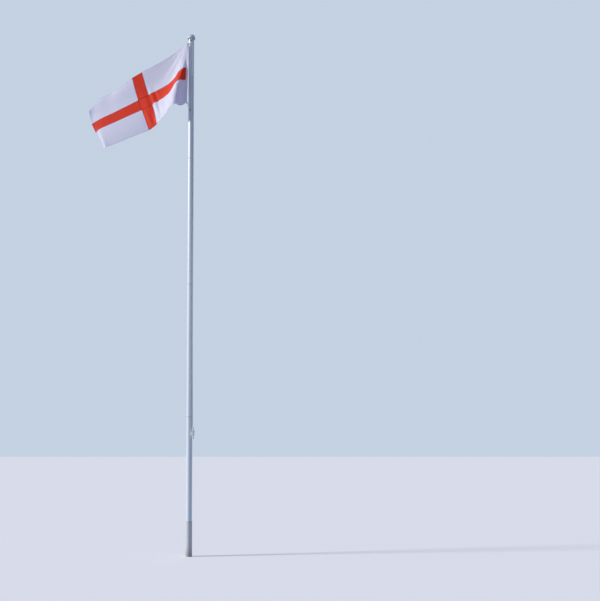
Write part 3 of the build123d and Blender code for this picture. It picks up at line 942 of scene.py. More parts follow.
def blown_cloth(lengths, downs):
    """The cloth as it streams, on a grid of lengths along the fly and shares down the hoist.

    Each row starts at the heading. Its heading angle is the stream's angle plus a turn in a bell over a tight fold
    and another over a broad billow, and its places are the running sum of that direction.
    """
    def mixed(pair):
        """A value that goes evenly from one at the top to another at the foot."""
        return pair[0] + (pair[1] - pair[0]) * downs[None, :]

    fine = np.linspace(lengths[0], lengths[-1], STREAM_PLACES)
    step = fine[1] - fine[0]
    along = (fine - lengths[0])[:, None]
    angle = mixed(STREAM_ANGLE) + BILLOW_TURN * bell(along - mixed(BILLOW_START), BILLOW_BREADTH)
    angle = np.radians(angle + mixed(FOLD_TURN) * bell(along - mixed(FOLD_START), FOLD_BREADTH))
    fall = mixed(STREAM_FALL)
    level = np.sqrt(1 - fall ** 2)
    ahead = np.stack([-np.cos(angle) * level, np.sin(angle) * level, -fall * np.ones_like(angle)], axis=-1)
    run = np.concatenate([np.zeros((1, len(downs), 3)), np.cumsum((ahead[1:] + ahead[:-1]) / 2 * step, axis=0)])
    picked = np.stack(
        [[np.interp(lengths, fine, run[:, row, axis]) for axis in range(3)] for row in range(len(downs))], axis=0
    )
    return picked.transpose(2, 0, 1) + beside_hoist(downs, lengths[0])[None, :, :]


def camera_rays(pixels):
    """Directions from the camera through pixels of the photograph."""
    pixels = np.asarray(pixels, dtype=float)
    right = (pixels[..., 0] - AXIS_PIXEL[0]) / FOCAL_PIXELS
    up = (AXIS_PIXEL[1] - pixels[..., 1]) / FOCAL_PIXELS
    cosine, sine = math.cos(CAMERA_PITCH), math.sin(CAMERA_PITCH)
    return unit(np.stack([right, cosine - up * sine, sine + up * cosine], axis=-1))


def seen_at(places):
    """Pixels of the photograph at which places appear."""
    away = places - np.array(CAMERA_PLACE)
    cosine, sine = math.cos(CAMERA_PITCH), math.sin(CAMERA_PITCH)
    depth = away[..., 1] * cosine + away[..., 2] * sine
    up = -away[..., 1] * sine + away[..., 2] * cosine
    return np.stack(
        [AXIS_PIXEL[0] + FOCAL_PIXELS * away[..., 0] / depth, AXIS_PIXEL[1] - FOCAL_PIXELS * up / depth], axis=-1
    )


def nearest_on_line(pixels, line):
    """The nearest place on a line of pixels to each pixel."""
    line = np.asarray(line, dtype=float)
    start, run = line[:-1], np.diff(line, axis=0)
    share = ((pixels[:, None, :] - start[None]) * run[None]).sum(-1) / (run ** 2).sum(-1)[None]
    foot = start[None] + np.clip(share, 0, 1)[..., None] * run[None]
    best = ((foot - pixels[:, None, :]) ** 2).sum(-1).argmin(axis=1)
    return foot[np.arange(len(pixels)), best]


def onto_rays(places, pixels, share):
    """Places moved a share of the way to the camera's rays through pixels, by the shortest way."""
    ray = camera_rays(pixels)
    away = places - np.array(CAMERA_PLACE)
    on_ray = ray * (away * ray).sum(-1, keepdims=True)
    return places + (on_ray - away) * share


def even_pairs(cloth, across, down, rest, share, least=None):
    """Moves the two points of each pair towards their distance in the flat cloth.

    A pair is a point and the one that many columns across and rows down. Alternate runs of columns or rows go in
    turn, so that no point is in two pairs at once. With a least distance given, only nearer pairs are moved, out
    to that distance, which is how the cloth resists a sharp crease.
    """
    columns, rows = cloth.shape[:2]
    span = across or abs(down)
    count = columns if across else rows
    index = np.arange(count - span)
    for turn in (0, 1):
        picked = index[(index // span) % 2 == turn]
        if across:
            high = slice(max(0, -down), rows - max(0, down))
            low = slice(max(0, down), rows - max(0, -down))
            first, second = (picked, high), (picked + across, low)
        else:
            first, second = (slice(None), picked), (slice(None), picked + down)
        gap = cloth[second] - cloth[first]
        length = np.linalg.norm(gap, axis=-1, keepdims=True)
        excess = length - rest if least is None else np.minimum(length - least, 0.0)
        move = gap * (0.5 * share * excess / length)
        cloth[first] += move
        cloth[second] -= move


# How strongly the cloth keeps its distances along threads and on the bias and the depth at which it streams, and how
# far back it may lie
THREAD_SHARE = 0.9
BIAS_SHARE = 0.06
DEPTH_SHARE = 0.004
DEEPEST = 0.738

# How it resists bending: for pairs of points some columns and rows apart, their least distance as a share of the flat
# one, and how strongly that is kept
BENDS = ((2, 0, 0.98, 0.3), (4, 0, 0.86, 0.3), (8, 0, 0.66, 0.2), (0, 4, 0.94, 0.2))

# How it is smoothed along and down, always and early on, how strongly it is pulled to the photograph's lines, and how
# the steps are shared out
SMOOTH_ALONG = (0.05, 0.27)
SMOOTH_DOWN = (0.08, 0.2)
LINE_PULL = 0.12
EARLY_PART = 0.7
LATE_PART = 0.4
STEPS = 900


def cross_seams(flag):
    """How far down the two seams of the arm lie, and how far out those of the upright."""
    arm = (flag.hoist - flag.bar) / 2
    return (arm, arm + flag.bar), (flag.upright, flag.upright + flag.bar)


def settled_cloth(flag, lengths, downs, steps):
    """The streaming cloth relaxed until it is unstretched and its seams and edges look as in the photograph.

    Each step evens the distances along threads and across the bias, opens what bends too sharply, smooths the cloth a
    little, draws it towards the depth at which it streamed, pulls the edges and seams towards the camera's rays
    through the photograph's lines, and holds it at the heading.
    """
    cloth = blown_cloth(lengths, downs)
    edge = cloth[0].copy()
    step = flag.grid
    diagonal = step * math.sqrt(2)
    arm, upright = cross_seams(flag)
    rows = {0.0: TOP_EDGE, arm[0]: ARM_TOP, arm[1]: ARM_FOOT, flag.hoist: FOOT_EDGE}
    columns = {upright[0]: UPRIGHT_NEAR, upright[1]: UPRIGHT_FAR, flag.fly: FLY_EDGE}
    # The fly's second place isn't on a seam
    crossings = {upright[0]: UPRIGHT_NEAR, upright[1]: UPRIGHT_FAR, flag.fly: FLY_EDGE[:1] + FLY_EDGE[2:]}

    def column_at(length):
        """The column of points at a length."""
        return int(round((length - lengths[0]) / step))

    def row_at(down):
        """The row of points at a drop."""
        return int(round(down / step))

    pinned = [
        (column_at(length), row_at(down), pixel)
        for length, line in crossings.items() for down, pixel in zip(rows, line)
    ]
    pin_columns, pin_rows, pin_pixels = (np.array(values) for values in zip(*pinned))
    held = ramp(lengths, lengths[0], flag.upright / 4)
    depth = cloth[..., 1].copy()
    pairs = [(1, 0, step, THREAD_SHARE, None), (0, 1, step, THREAD_SHARE, None)]
    pairs += [(1, way, diagonal, BIAS_SHARE, None) for way in (1, -1)]
    pairs += [(across, down, 0, share, least * max(across, down) * step) for across, down, least, share in BENDS]
    for turn in range(steps):
        early = max(0.0, 1 - turn / (EARLY_PART * steps))
        late = min(1.0, (steps - turn) / (LATE_PART * steps))
        pull = LINE_PULL * late ** 2
        for across, down, rest, share, least in pairs:
            even_pairs(cloth, across, down, rest, share, least)
        cloth[1:-1] += (SMOOTH_ALONG[0] + SMOOTH_ALONG[1] * early) * (cloth[:-2] + cloth[2:] - 2 * cloth[1:-1])
        cloth[:, 1:-1] += (SMOOTH_DOWN[0] + SMOOTH_DOWN[1] * early) * (
            cloth[:, :-2] + cloth[:, 2:] - 2 * cloth[:, 1:-1]
        )
        cloth[..., 1] += DEPTH_SHARE * (depth - cloth[..., 1])
        cloth[..., 1] = np.minimum(cloth[..., 1], DEEPEST)
        for down, line in rows.items():
            row = row_at(down)
            target = nearest_on_line(seen_at(cloth[:, row]), line)
            cloth[:, row] = onto_rays(cloth[:, row], target, pull * held[:, None])
        for length, line in columns.items():
            column = column_at(length)
            target = nearest_on_line(seen_at(cloth[column]), line)
            cloth[column] = onto_rays(cloth[column], target, pull)
        cloth[pin_columns, pin_rows] = onto_rays(cloth[pin_columns, pin_rows], pin_pixels, pull)
        cloth[0] = edge
    return cloth


def spline_shares(known, wanted):
    """A matrix that gives values at wanted places from values at evenly spaced known ones.

    Each value is a cubic blend of its four neighbours that passes through them, and past the ends the line goes on.
    """
    count = len(known)
    at = np.clip((np.asarray(wanted) - known[0]) / (known[1] - known[0]), 0, count - 1)
    cell = np.minimum(at.astype(int), count - 2)
    part = at - cell
    blend = np.stack([
        -0.5 * part + part ** 2 - 0.5 * part ** 3,
        1 - 2.5 * part ** 2 + 1.5 * part ** 3,
        0.5 * part + 2 * part ** 2 - 1.5 * part ** 3,
        -0.5 * part ** 2 + 0.5 * part ** 3,
    ], axis=1)
    shares = np.zeros((len(at), count + 2))
    row = np.arange(len(at))
    for neighbour in range(4):
        shares[row, cell + neighbour] += blend[:, neighbour]
    shares[:, 1] += 2 * shares[:, 0]
    shares[:, 2] -= shares[:, 0]
    shares[:, -2] += 2 * shares[:, -1]
    shares[:, -3] -= shares[:, -1]
    return shares[:, 1:-1]


def grid_lines(low, high, spacing, bands):
    """Places from low to high at most a spacing apart, with closer places across the edges of each band."""
    near = 0.0004
    marks = [low, high]
    for start, end in bands:
        for edge in (start, end):
            marks += [edge - near, edge + near]
    marks = np.unique(np.clip(np.round(marks, 6), low, high))
    lines = [
        np.linspace(start, end, max(2, int(math.ceil((end - start) / spacing)) + 1))[:-1]
        for start, end in zip(marks[:-1], marks[1:])
    ]
    return np.concatenate(lines + [[high]])


def inside(places, bands):
    """One where a place is in any of the bands, and nought outside them."""
    return np.clip(sum(((places > start) & (places < end)).astype(float) for start, end in bands), 0, 1)


# How far the cloth is tucked into the band, where the band's stitches catch it, and how much its seams and hems add to
# each side of it, in thicknesses of one layer, and to its painted shade
TUCK = 0.008
SEAM_BULK = 0.9
HEM_BULK = 0.25
SEAM_SHADE = 0.9
HEM_SHADE = 0.62

# Stitches: their length as a share of the distance between them, their thread in the cloth and in the band, and how
# far in from a seam's edge and from the fly's they lie
STITCH_SHARE = 0.82
CLOTH_THREAD = 0.00028
BAND_THREAD = 0.0003
SEAM_INSET = 0.0015
FLY_INSET = 0.002

# Heights of the cloth's small folds, the lengths of their waves, and how far they reach from a seam or a hem
RAY_HEIGHT = 0.0020
PLEAT_HEIGHT = 0.0030
PUCKER_HEIGHT = 0.0009
FLUTTER_HEIGHT = 0.0050
HEM_HEIGHT = 0.0012
PLEAT_WAVES = (0.074, 0.041)
ARM_WAVE = 0.031
UPRIGHT_WAVE = 0.029
FLUTTER_WAVE = 0.31
HEM_WAVE = 0.045
PUCKER_REACH = 0.022
HEM_REACH = 0.02


class Cloth:
    """The settled cloth, with its small folds, as a surface that seams and stitches can be laid on."""

    def __init__(self, flag, steps):
        start = 2 * flag.grid
        self.flag = flag
        self.lengths = start + flag.grid * np.arange(int(round((flag.fly - start) / flag.grid)) + 1)
        self.drops = flag.grid * np.arange(int(round(flag.hoist / flag.grid)) + 1)
        self.grid = settled_cloth(flag, self.lengths, self.drops / flag.hoist, steps)

    def bare(self, lengths, drops):
        """The settled surface on a grid of lengths and drops. Before its first column it lies flat in the band."""
        along = spline_shares(self.lengths, lengths)
        down = spline_shares(self.drops, drops)
        places = np.einsum("ai,ijk,bj->abk", along, self.grid, down)
        tucked = np.minimum(lengths - self.lengths[0], 0.0)
        return places + tucked[:, None, None] * hoist_frame(drops / self.flag.hoist)[1]

    def normals(self, places):
        """Directions square to a grid of places, to the back of the flag."""
        return unit(np.cross(np.gradient(places, axis=0), np.gradient(places, axis=1)))

    def ripple(self, length, drop):
        """The height of small folds: rays from the top hoist corner, soft pleats low at the hoist, puckers beside the
        seams, a flutter towards the fly and waves along the long hems, each a sum of sines under its own envelope."""
        arm, upright = cross_seams(self.flag)
        reach = np.hypot(length, drop * 1.15)
        bearing = np.arctan2(drop, length)
        rays = np.sin(13 * bearing + 0.6) + 0.6 * np.sin(23 * bearing + 2.1)
        rays = RAY_HEIGHT * rays * bell(reach - 0.42, 0.33) * ramp(reach, 0, 0.12)
        pleats = wave(length, PLEAT_WAVES[0], 2.0 * drop) + 0.5 * wave(length, PLEAT_WAVES[1], 1.0)
        pleats = PLEAT_HEIGHT * pleats * bell(length - 0.13, 0.13) * ramp(drop, 0.52, 0.1)
        along = PUCKER_HEIGHT * wave(length, ARM_WAVE, 9 * np.sin(3.1 * length))
        down = PUCKER_HEIGHT * wave(drop, UPRIGHT_WAVE, 7 * np.sin(4.3 * drop))
        pucker = 0.0
        for seam in arm:
            pucker = pucker + along * bell(drop - seam, PUCKER_REACH)
        for seam in upright:
            pucker = pucker + down * bell(length - seam, PUCKER_REACH)
        flutter = FLUTTER_HEIGHT * ramp(length, 1.0, 0.8) * wave(length, FLUTTER_WAVE, 2.6 * drop)
        flutter = flutter * (0.6 + 0.4 * np.cos(5 * drop))
        edge = np.minimum(drop, self.flag.hoist - drop)
        hem = HEM_HEIGHT * wave(length, HEM_WAVE, 5 * np.sin(2.3 * length)) * bell(edge, HEM_REACH)
        return (rays + pleats + pucker + flutter + hem) * ramp(length, self.lengths[0], 0.03)

    def surface(self, lengths, drops):
        """The rippled surface on a grid, with its normals."""
        places = self.bare(lengths, drops)
        places = places + self.normals(places) * self.ripple(lengths[:, None], drops[None, :])[..., None]
        return places, self.normals(places)

    def line(self, length, drop):
        """Places and normals at matched lengths and drops, from a small grid about each."""
        small = 0.0015
        along = [spline_shares(self.lengths, length + move) for move in (-small, 0, small)]
        down = [spline_shares(self.drops, drop + move) for move in (-small, 0, small)]

        def bare(i, j):
            """The settled surface a small move along and down from each place."""
            return np.einsum("ai,ijk,aj->ak", along[i], self.grid, down[j])

        normal = unit(np.cross(bare(2, 1) - bare(0, 1), bare(1, 2) - bare(1, 0)))
        return bare(1, 1) + normal * self.ripple(length, drop)[:, None], normal


def seam_bands(flag):
    """Where the cloth lies in more than one layer: the seams of the bars, the fly's hem and the long hems."""
    half = flag.seam / 2
    arms, uprights = ([(seam - half, seam + half) for seam in seams] for seams in cross_seams(flag))
    fly = [(flag.fly - flag.fly_hem, flag.fly + 1)]
    hems = [(-1, flag.hem), (flag.hoist - flag.hem, flag.hoist + 1)]
    return uprights, arms, fly, hems


class FLAGPOLE_OT_stage(bpy.types.Operator):
    """Adds the camera, the floor, the key light and the soft fill"""

    bl_idname = "flagpole.stage"
    bl_label = "Stage"

    def execute(self, context):
        settings = context.scene.flagpole_stage
        self.add_camera(context)
        self.add_floor(context, settings)
        self.add_lights(context, settings)
        context.scene.view_settings.view_transform = "Standard"
        return {"FINISHED"}

    def add_camera(self, context):
        """The camera, as the photograph's lines place it."""
        data = bpy.data.cameras.new("camera")
        data.sensor_fit = "HORIZONTAL"
        data.sensor_width = 36.0
        data.lens = FOCAL_PIXELS / FRAME_WIDTH * data.sensor_width
        data.shift_x = (FRAME_WIDTH / 2 - AXIS_PIXEL[0]) / FRAME_WIDTH
        data.clip_end = 200.0
        camera = bpy.data.objects.new("camera", data)
        camera.location = CAMERA_PLACE
        camera.rotation_euler = (math.pi / 2 + CAMERA_PITCH, 0.0, 0.0)
        context.scene.collection.objects.link(camera)
        context.scene.camera = camera

    def add_floor(self, context, settings):
        """A square floor at ground level."""
        half = settings.floor_size / 2
        mesh = bpy.data.meshes.new("floor")
        mesh.from_pydata([(-half, -half, 0), (half, -half, 0), (half, half, 0), (-half, half, 0)], [], [(0, 1, 2, 3)])
        mesh.materials.append(floor_finish("floor", settings.floor_colour, settings.floor_lift))
        floor = bpy.data.objects.new("floor", mesh)
        context.scene.collection.objects.link(floor)

    def add_lights(self, context, settings):
        """The key light, and a world that is one colour where it is seen and another where it lights."""
        sun = bpy.data.lights.new("key", "SUN")
        sun.energy = settings.key_strength
        sun.angle = settings.key_spread
        key = bpy.data.objects.new("key", sun)
        key.rotation_euler = (math.pi / 2 - settings.key_height, 0.0, settings.key_bearing)
        context.scene.collection.objects.link(key)
        world = bpy.data.worlds.new("studio")
        world.use_nodes = True
        tree = world.node_tree
        tree.nodes.clear()
        colour = mix_colour(tree, seen_ray(tree), (*settings.sky_light, 1.0), (*settings.background, 1.0))
        light = add_node(tree, "ShaderNodeBackground", {"Color": colour, "Strength": 1.0})
        out = tree.nodes.new("ShaderNodeOutputWorld")
        tree.links.new(light.outputs[0], out.inputs["Surface"])
        context.scene.world = world


class FLAGPOLE_OT_finishes(bpy.types.Operator):
    """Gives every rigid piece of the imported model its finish"""

    bl_idname = "flagpole.finishes"
    bl_label = "Finishes"

    def execute(self, context):
        settings = context.scene.flagpole_finish
        tube = tube_finish(settings.tube)
        clip = moulding_finish("moulded_clip", settings.clip)
        brass = metal_finish("eyelet_brass", settings.brass, roughness=0.28)
        steel = metal_finish("steel_pin", settings.steel, roughness=0.22)
        chosen = {
            "ground_sleeve": sleeve_finish(settings.sleeve),
            "truck_body": casting_finish("painted_truck", settings.casting, fine=1100.0, roughness=0.45),
            "mushroom_cap": casting_finish("painted_cap", settings.cap, fine=1600.0, roughness=0.38, dome=CAP_CENTRE),
            "cleat": casting_finish("painted_cleat", settings.cleat, fine=1300.0, roughness=0.40),
            "sheave": moulding_finish("moulded_sheave", settings.sheave),
            "sheave_pin": steel,
            "top_eyelet": brass,
            "foot_eyelet": brass,
            "top_clip": clip,
            "lower_clip": clip,
            "foot_link": steel,
        }
        chosen.update({name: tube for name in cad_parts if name.startswith("pole_section")})
        for name, material in chosen.items():
            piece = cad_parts[name]
            if not piece.material_slots:
                piece.data.materials.append(material)
            for place in piece.material_slots:
                place.material = material
        return {"FINISHED"}


class FLAGPOLE_OT_halyard(bpy.types.Operator):
    """Adds the braided halyard: its two runs, its bends over the sheave and round the cleat, and its turns"""

    bl_idname = "flagpole.halyard"
    bl_label = "Halyard"

    def execute(self, context):
        rope = context.scene.flagpole_rope
        material = rope_finish("braided_rope", rope.colour)
        outward = (0.0, 1.0, 0.0)
        cleat_out = (math.cos(CLEAT_BEARING), math.sin(CLEAT_BEARING), 0.0)
        sheave = np.array([0.0, HALYARD_PLANE, SHEAVE_HEIGHT])
        flag_top = sheave - [ROPE_TURN_RADIUS, 0, 0]
        return_top = sheave + [ROPE_TURN_RADIUS, 0, 0]
        flag_foot = on_cleat(ROPE_SEAT, -ROPE_SIDE, -POST_STRAIGHT)
        return_foot = on_cleat(ROPE_SEAT, ROPE_SIDE, -POST_STRAIGHT)
        bend_places = 60
        turn = np.linspace(math.pi, 0, bend_places)
        over = sheave + ROPE_TURN_RADIUS * np.stack([np.cos(turn), np.zeros_like(turn), np.sin(turn)], axis=1)
        under = on_cleat(ROPE_SEAT, ROPE_SIDE * np.cos(turn), -POST_STRAIGHT - ROPE_SIDE * np.sin(turn))
        pieces = {
            "halyard_flag_run": ([flag_top, flag_foot], outward),
            "halyard_return_run": ([return_top, return_foot], outward),
            "halyard_over_sheave": (over, outward),
            "halyard_round_cleat": (under, cleat_out),
        }
        for node, (path, side) in pieces.items():
            piece = braided(node.replace("halyard", "braid"), path, side, ROPE_RADIUS, rope, material, "pole")
            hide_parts(node)
        turns = braided("braid_turns", self.turns_path(), cleat_out, ROPE_RADIUS, rope, material, "pole", closed=True)
        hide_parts("halyard_turns")
        return {"FINISHED"}

    def turns_path(self):
        """A figure of eight: sideways as the sine of twice the angle, up as its sine, and outward as its cosine
        squared, so that the rope is behind the bar at the horns and crosses in front of it."""
        reach, spread = 0.034, 0.022
        gap_behind, gap_before, count = 0.0005, 0.0012, 400
        back = HORN_STAND_OFF - HORN_DEPTH / 2 - gap_behind - ROPE_RADIUS
        front = HORN_STAND_OFF + HORN_DEPTH / 2 + gap_before + 2 * ROPE_RADIUS
        angle = np.linspace(0, 2 * math.pi, count)
        out = back + (front - back) * np.cos(angle) ** 2 + (ROPE_RADIUS + ROPE_GAP / 2) * np.cos(angle)
        return on_cleat(out, spread * np.sin(2 * angle), reach * np.sin(angle))


class FLAGPOLE_OT_flag(bpy.types.Operator):
    """Adds the flag's cloth, a white field with a red cross joined by felled seams and hemmed, and its stitches"""

    bl_idname = "flagpole.flag"
    bl_label = "Flag"

    def execute(self, context):
        flag = context.scene.flagpole_flag
        cloth = Cloth(flag, STEPS)
        uprights, arms, fly, hems = seam_bands(flag)
        start = flag.heading - TUCK
        lengths = grid_lines(start, flag.fly, flag.detail, uprights + fly)
        drops = grid_lines(0.0, flag.hoist, flag.detail, arms + hems)
        places, normals = cloth.surface(lengths, drops)
        in_seam = np.maximum(inside(lengths, uprights)[:, None], inside(drops, arms)[None, :])
        in_hem = np.maximum(inside(lengths, fly)[:, None], inside(drops, hems)[None, :])
        half = (flag.thickness * (0.5 + np.maximum(SEAM_BULK * in_seam, HEM_BULK * in_hem)))[..., None]
        white = cloth_finish("white_cloth", flag.white, flag.white_layer_shade, WHITE_GLOW, WHITE_SPREAD)
        red = cloth_finish("red_cloth", flag.red, flag.red_layer_shade, RED_GLOW, RED_SPREAD)
        piece, faces = two_faced("flag_sheet", places - normals * half, places + normals * half, [white, red], "flag")
        self.colour_cross(piece, flag, lengths, drops, faces)
        lie = np.stack(np.meshgrid(lengths, drops, indexing="ij"), axis=-1).reshape(-1, 2)
        set_uv(piece, "cloth", np.concatenate([lie, lie]))
        # Shares of painted shade along the seams and the hems
        shade = np.maximum(SEAM_SHADE * in_seam, HEM_SHADE * in_hem)
        set_share(piece, "layer_shade_share", np.tile(shade.reshape(-1), 2))
        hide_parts("flag_cloth")
        threads = self.add_stitches(cloth, flag)
        return {"FINISHED"}

    def colour_cross(self, piece, flag, lengths, drops, faces):
        """The red cloth on the faces whose middle lies on either bar."""
        corner = faces % (len(lengths) * len(drops))
        length = lengths[corner // len(drops)].mean(axis=1)
        drop = drops[corner % len(drops)].mean(axis=1)
        arm, upright = cross_seams(flag)
        on_arm = (drop > arm[0]) & (drop < arm[1])
        on_upright = (length > upright[0]) & (length < upright[1])
        piece.data.polygons.foreach_set("material_index", (on_arm | on_upright).astype(np.int32))

    def add_stitches(self, cloth, flag):
        """Two rows along each felled seam, one in each long hem and three down the fly."""
        half = flag.seam / 2 - SEAM_INSET
        arm, upright = cross_seams(flag)
        seam_offset, hem_offset = (flag.thickness * (0.5 + bulk) for bulk in (SEAM_BULK, HEM_BULK))
        along = np.arange(cloth.lengths[0] + flag.stitch, flag.fly - FLY_INSET, flag.stitch)
        down = np.arange(flag.stitch / 2, flag.hoist, flag.stitch)
        beside_upright = (along < upright[0] - half) | (along > upright[1] + half)
        red, white = [], []
        for seam in (arm[0] - half, arm[0] + half, arm[1] - half, arm[1] + half):
            red.append((*cloth.line(along[beside_upright], np.full(beside_upright.sum(), seam)), seam_offset))
        for shift in (-half, half, flag.bar - half, flag.bar + half):
            red.append((*cloth.line(np.full(len(down), flag.upright + shift), down), seam_offset))
        for seam in (flag.hem - SEAM_INSET, flag.hoist - flag.hem + SEAM_INSET):
            white.append((*cloth.line(along, np.full(len(along), seam)), hem_offset))
        for inset in (FLY_INSET, flag.fly_hem / 2, flag.fly_hem - FLY_INSET):
            white.append((*cloth.line(np.full(len(down), flag.fly - inset), down), hem_offset))
        length = STITCH_SHARE * flag.stitch
        pieces = {
            "seam_stitches": (red, thread_finish("red_thread", flag.red_thread)),
            "hem_stitches": (white, white_thread(flag)),
        }
        for name, (rows, material) in pieces.items():
            stitched(name, rows, length, CLOTH_THREAD, [material], "flag")
        return list(pieces)


class FLAGPOLE_OT_heading(bpy.types.Operator):
    """Adds the white webbing folded over the hoist, with its holes for the eyelets and its stitches"""

    bl_idname = "flagpole.heading"
    bl_label = "Heading"

    def execute(self, context):
        flag = context.scene.flagpole_flag
        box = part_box("flag_heading")
        run = np.linalg.norm(np.diff(hoist_curve(np.linspace(0, 1, 200))[0], axis=0), axis=1).sum()
        columns, rows = 35, 440
        across = np.linspace(0.0, flag.heading, columns)
        down = np.linspace(0.0, run, rows)
        cell = down[1] - down[0]
        wide, high = np.meshgrid(across, down, indexing="ij")
        keep = np.ones((columns - 1, rows - 1), dtype=bool)
        for eyelet in ("top_eyelet", "foot_eyelet"):
            wide, high, keep = self.opened(wide, high, keep, self.flat_place(eyelet, run), across[1], cell)
        places, inward, square = hoist_frame(high / run)
        places = places + inward * wide[..., None]
        half = (box[1].y - box[0].y) / 2
        thinnest, groove_in, groove_breadth, groove_depth = 0.16, 0.004, 0.0012, 0.16
        round_edge = np.clip(1 - ((wide / flag.heading - 0.5) * 2) ** 12, 0, 1) ** 0.5
        pulled = 0.7 + 0.3 * np.cos(2 * math.pi * high / flag.stitch)
        groove = 1 - groove_depth * bell(wide - flag.heading + groove_in, groove_breadth) * pulled
        uneven_depth = 0.97 + 0.03 * wave(high, 0.021, 5 * np.sin(8 * high))
        depth = (half * np.maximum(round_edge, thinnest) * groove * uneven_depth)[..., None] * square
        webbing = webbing_finish(flag.webbing)
        piece, _ = two_faced("heading_tape", places - depth, places + depth, [webbing], "flag", keep)
        lie = np.stack([wide, high], axis=-1).reshape(-1, 2)
        set_uv(piece, "cloth", np.concatenate([lie, lie]))
        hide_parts("flag_heading")
        self.add_stitches(flag, run, half)
        return {"FINISHED"}

    def flat_place(self, eyelet, run):
        """How far in and how far down the flat band an eyelet's middle is."""
        middle = middle_of(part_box(eyelet))
        down = np.linspace(0, 1, 4001)
        edge = hoist_curve(down)[0]
        nearest = np.linalg.norm(edge - middle, axis=1).argmin()
        return np.linalg.norm(edge[nearest] - middle), down[nearest] * run

    def opened(self, wide, high, keep, place, column, row):
        """Opens a round hole: points near the place move outward, square rings of the grid turning into circles.

        The rings near the place aren't kept. Of those further out, one that is a share of the way to the opening's
        reach becomes a circle that is as much of the way from the hole's edge to that reach, and is blended back to
        a square by the square of that share.
        """
        hole, reach, lost_cells = 0.0061, 0.0125, 2.6
        x, z = wide - place[0], high - place[1]
        square = np.maximum(np.abs(x), np.abs(z))
        angle = np.arctan2(z, x)
        core = lost_cells * max(column, row)
        share = ramp(square, core, reach - core)
        radius = hole + (reach - hole) * share
        blend = share ** 2
        near = square < reach
        round_x, round_z = radius * np.cos(angle), radius * np.sin(angle)
        wide = np.where(near, place[0] + round_x * (1 - blend) + x * blend, wide)
        high = np.where(near, place[1] + round_z * (1 - blend) + z * blend, high)
        inner = square < core
        lost = inner[:-1, :-1] | inner[1:, :-1] | inner[:-1, 1:] | inner[1:, 1:]
        return wide, high, keep & ~lost

    def add_stitches(self, flag, run, half):
        """Two rows down the inner edge, and a short row across each end."""
        from_edge, from_end, clear, closer, pressed = (0.003, 0.008), 0.0035, 0.004, 0.8, 0.92
        down = np.arange(clear, run - clear, flag.stitch)
        across = np.arange(from_edge[0], flag.heading - clear, flag.stitch * closer)
        lines = [(down, np.full(len(down), flag.heading - inset)) for inset in from_edge]
        lines += [(np.full(len(across), end), across) for end in (from_end, run - from_end)]
        rows = []
        for high, wide in lines:
            edge, inward, square = hoist_frame(high / run)
            rows.append((edge + inward * wide[:, None], square, half * pressed))
        length, material = STITCH_SHARE * flag.stitch, white_thread(flag)
        stitched("heading_stitches", rows, length, BAND_THREAD, [material], "flag")


class FLAGPOLE_OT_tail(bpy.types.Operator):
    """Adds the thin cord from the link in the flag's foot to the lower clip, with a wrapped knot at each end"""

    bl_idname = "flagpole.tail"
    bl_label = "Tail cord"

    def execute(self, context):
        rope = context.scene.flagpole_rope
        link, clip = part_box("foot_link"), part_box("lower_clip")
        top, foot = middle_of(link), middle_of(clip)
        top[0] = link[1].x - KNOTTED_BAR / 2
        foot[0] = clip[0].x + KNOTTED_BAR / 2
        material = rope_finish("braided_cord", rope.cord_colour)
        ahead = unit(foot - top)
        side = np.array([0.0, 1.0, 0.0])
        across = unit(np.cross(side, ahead))
        path, outward = self.knotted(top, ahead, across, side)
        back, back_outward = self.knotted(foot, -ahead, across, side)
        path = np.concatenate([path, back[::-1]])
        outward = np.concatenate([outward, back_outward[::-1]])
        piece = braided("tail_braid", path, outward, CORD_RADIUS, rope, material, "flag")
        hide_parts("tail_cord")
        return {"FINISHED"}

    def knotted(self, bar, ahead, across, side):
        """The way from the cord's end, wound three times round the standing part and over the bar, to the run.

        The winding is a helix whose radius is about the cord's diameter, and the turn over the bar is half a circle.
        """
        turns, pitch, round_run = 3.0, 2.15 * CORD_RADIUS, 2.05 * CORD_RADIUS
        hold = KNOTTED_BAR / 2 + 1.15 * CORD_RADIUS
        angle = np.linspace(turns * 2 * math.pi, 0, 120)
        start = hold + CORD_RADIUS
        length = start + pitch * angle / (2 * math.pi)
        out = np.cos(angle)[:, None] * across + np.sin(angle)[:, None] * side
        winding = bar + ahead * length[:, None] + out * round_run
        bow = np.linspace(0.0, math.pi, 40)
        over_out = np.cos(bow)[:, None] * across - np.sin(bow)[:, None] * ahead
        over = bar + over_out * hold
        beyond, count = 0.004, 20
        run = bar + ahead * np.linspace(start * 0.4, start + pitch * turns + beyond, count)[:, None]
        run = run - across * (hold * np.linspace(1.0, 0.0, count) ** 2)[:, None]
        run_out = np.broadcast_to(-across, run.shape)
        return np.concatenate([winding, over, run]), np.concatenate([out, over_out, run_out])


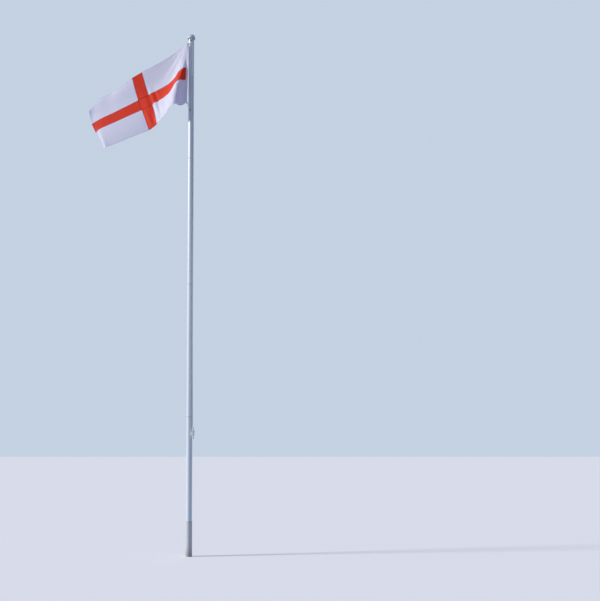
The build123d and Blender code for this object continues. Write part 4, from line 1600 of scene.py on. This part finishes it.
class FLAGPOLE_OT_fasteners(bpy.types.Operator):
    """Adds the two pan-head screws in the cleat's foot"""

    bl_idname = "flagpole.fasteners"
    bl_label = "Fasteners"

    def execute(self, context):
        steel = bpy.data.materials["steel_pin"]
        for name, up in (("cleat_screw_upper", CLEAT_SCREW_UP), ("cleat_screw_lower", -CLEAT_SCREW_UP)):
            piece = self.screw(name, on_cleat(CLEAT_FOOT_FACE, 0.0, up), steel)
        return {"FINISHED"}

    def screw(self, name, place, material):
        """A pan head with a cross recess.

        Its height over the radius is a flat that rounds off nearly as a quarter of an ellipse, less the recess, which
        is a cross of two grooves that get shallower at their ends.
        """
        radius, height = 0.0044, 0.0024
        groove, arm, sunk, groove_wall, arm_slope, sides = 0.00055, 0.0026, 0.0012, 0.0002, 0.0006, 64
        share = np.concatenate([np.linspace(0.04, 0.62, 16), np.linspace(0.66, 0.98, 9), [1.0]])
        angle = np.arange(sides) * (2 * math.pi / sides)
        share, angle = np.meshgrid(share, angle, indexing="ij")
        side, up = radius * share * np.cos(angle), radius * share * np.sin(angle)
        crown = height * np.sqrt(np.clip(1 - ramp(share, 0.5, 0.5) ** 2.4, 0, 1))
        cross = np.minimum(np.abs(side), np.abs(up))
        recess = np.clip((groove - cross) / groove_wall, 0, 1)
        recess = recess * np.clip((arm - radius * share) / arm_slope, 0, 1)
        out = crown - sunk * recess
        cosine, sine = math.cos(CLEAT_BEARING), math.sin(CLEAT_BEARING)
        outward, beside = np.array([cosine, sine, 0.0]), np.array([-sine, cosine, 0.0])
        points = place + out[..., None] * outward + side[..., None] * beside + up[..., None] * np.array([0, 0, 1.0])
        points = np.concatenate([points.reshape(-1, 3), [place + outward * (height - sunk), place]])
        faces = [group[:, ::-1] for group in tube_faces(*share.shape, False)]
        return new_piece(name, points, faces, [material], "pole")


class FLAGPOLE_PT_panel(bpy.types.Panel):
    """Lists the operators that build the flagpole's looks"""

    bl_label = "Flagpole"
    bl_idname = "FLAGPOLE_PT_panel"
    bl_space_type = "VIEW_3D"
    bl_region_type = "UI"
    bl_category = "Flagpole"

    def draw(self, context):
        for operator in OPERATORS:
            self.layout.operator(operator.bl_idname)


SETTINGS = {
    "flagpole_stage": StageSettings,
    "flagpole_flag": FlagSettings,
    "flagpole_rope": RopeSettings,
    "flagpole_finish": FinishSettings,
}
OPERATORS = (
    FLAGPOLE_OT_stage, FLAGPOLE_OT_finishes, FLAGPOLE_OT_halyard, FLAGPOLE_OT_tail, FLAGPOLE_OT_fasteners,
    FLAGPOLE_OT_heading, FLAGPOLE_OT_flag,
)


def register():
    """Adds the settings, the operators and the panel."""
    for kind in (*SETTINGS.values(), *OPERATORS, FLAGPOLE_PT_panel):
        bpy.utils.register_class(kind)
    for name, kind in SETTINGS.items():
        setattr(bpy.types.Scene, name, bpy.props.PointerProperty(type=kind))


def unregister():
    """Takes them away again."""
    for name in SETTINGS:
        delattr(bpy.types.Scene, name)
    for kind in reversed((*SETTINGS.values(), *OPERATORS, FLAGPOLE_PT_panel)):
        bpy.utils.unregister_class(kind)


def main():
    """Registers the add-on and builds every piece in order."""
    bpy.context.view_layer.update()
    register()
    bpy.ops.flagpole.stage()
    bpy.ops.flagpole.finishes()
    bpy.ops.flagpole.halyard()
    bpy.ops.flagpole.tail()
    bpy.ops.flagpole.fasteners()
    bpy.ops.flagpole.heading()
    bpy.ops.flagpole.flag()


if __name__ == "__main__":
    main()
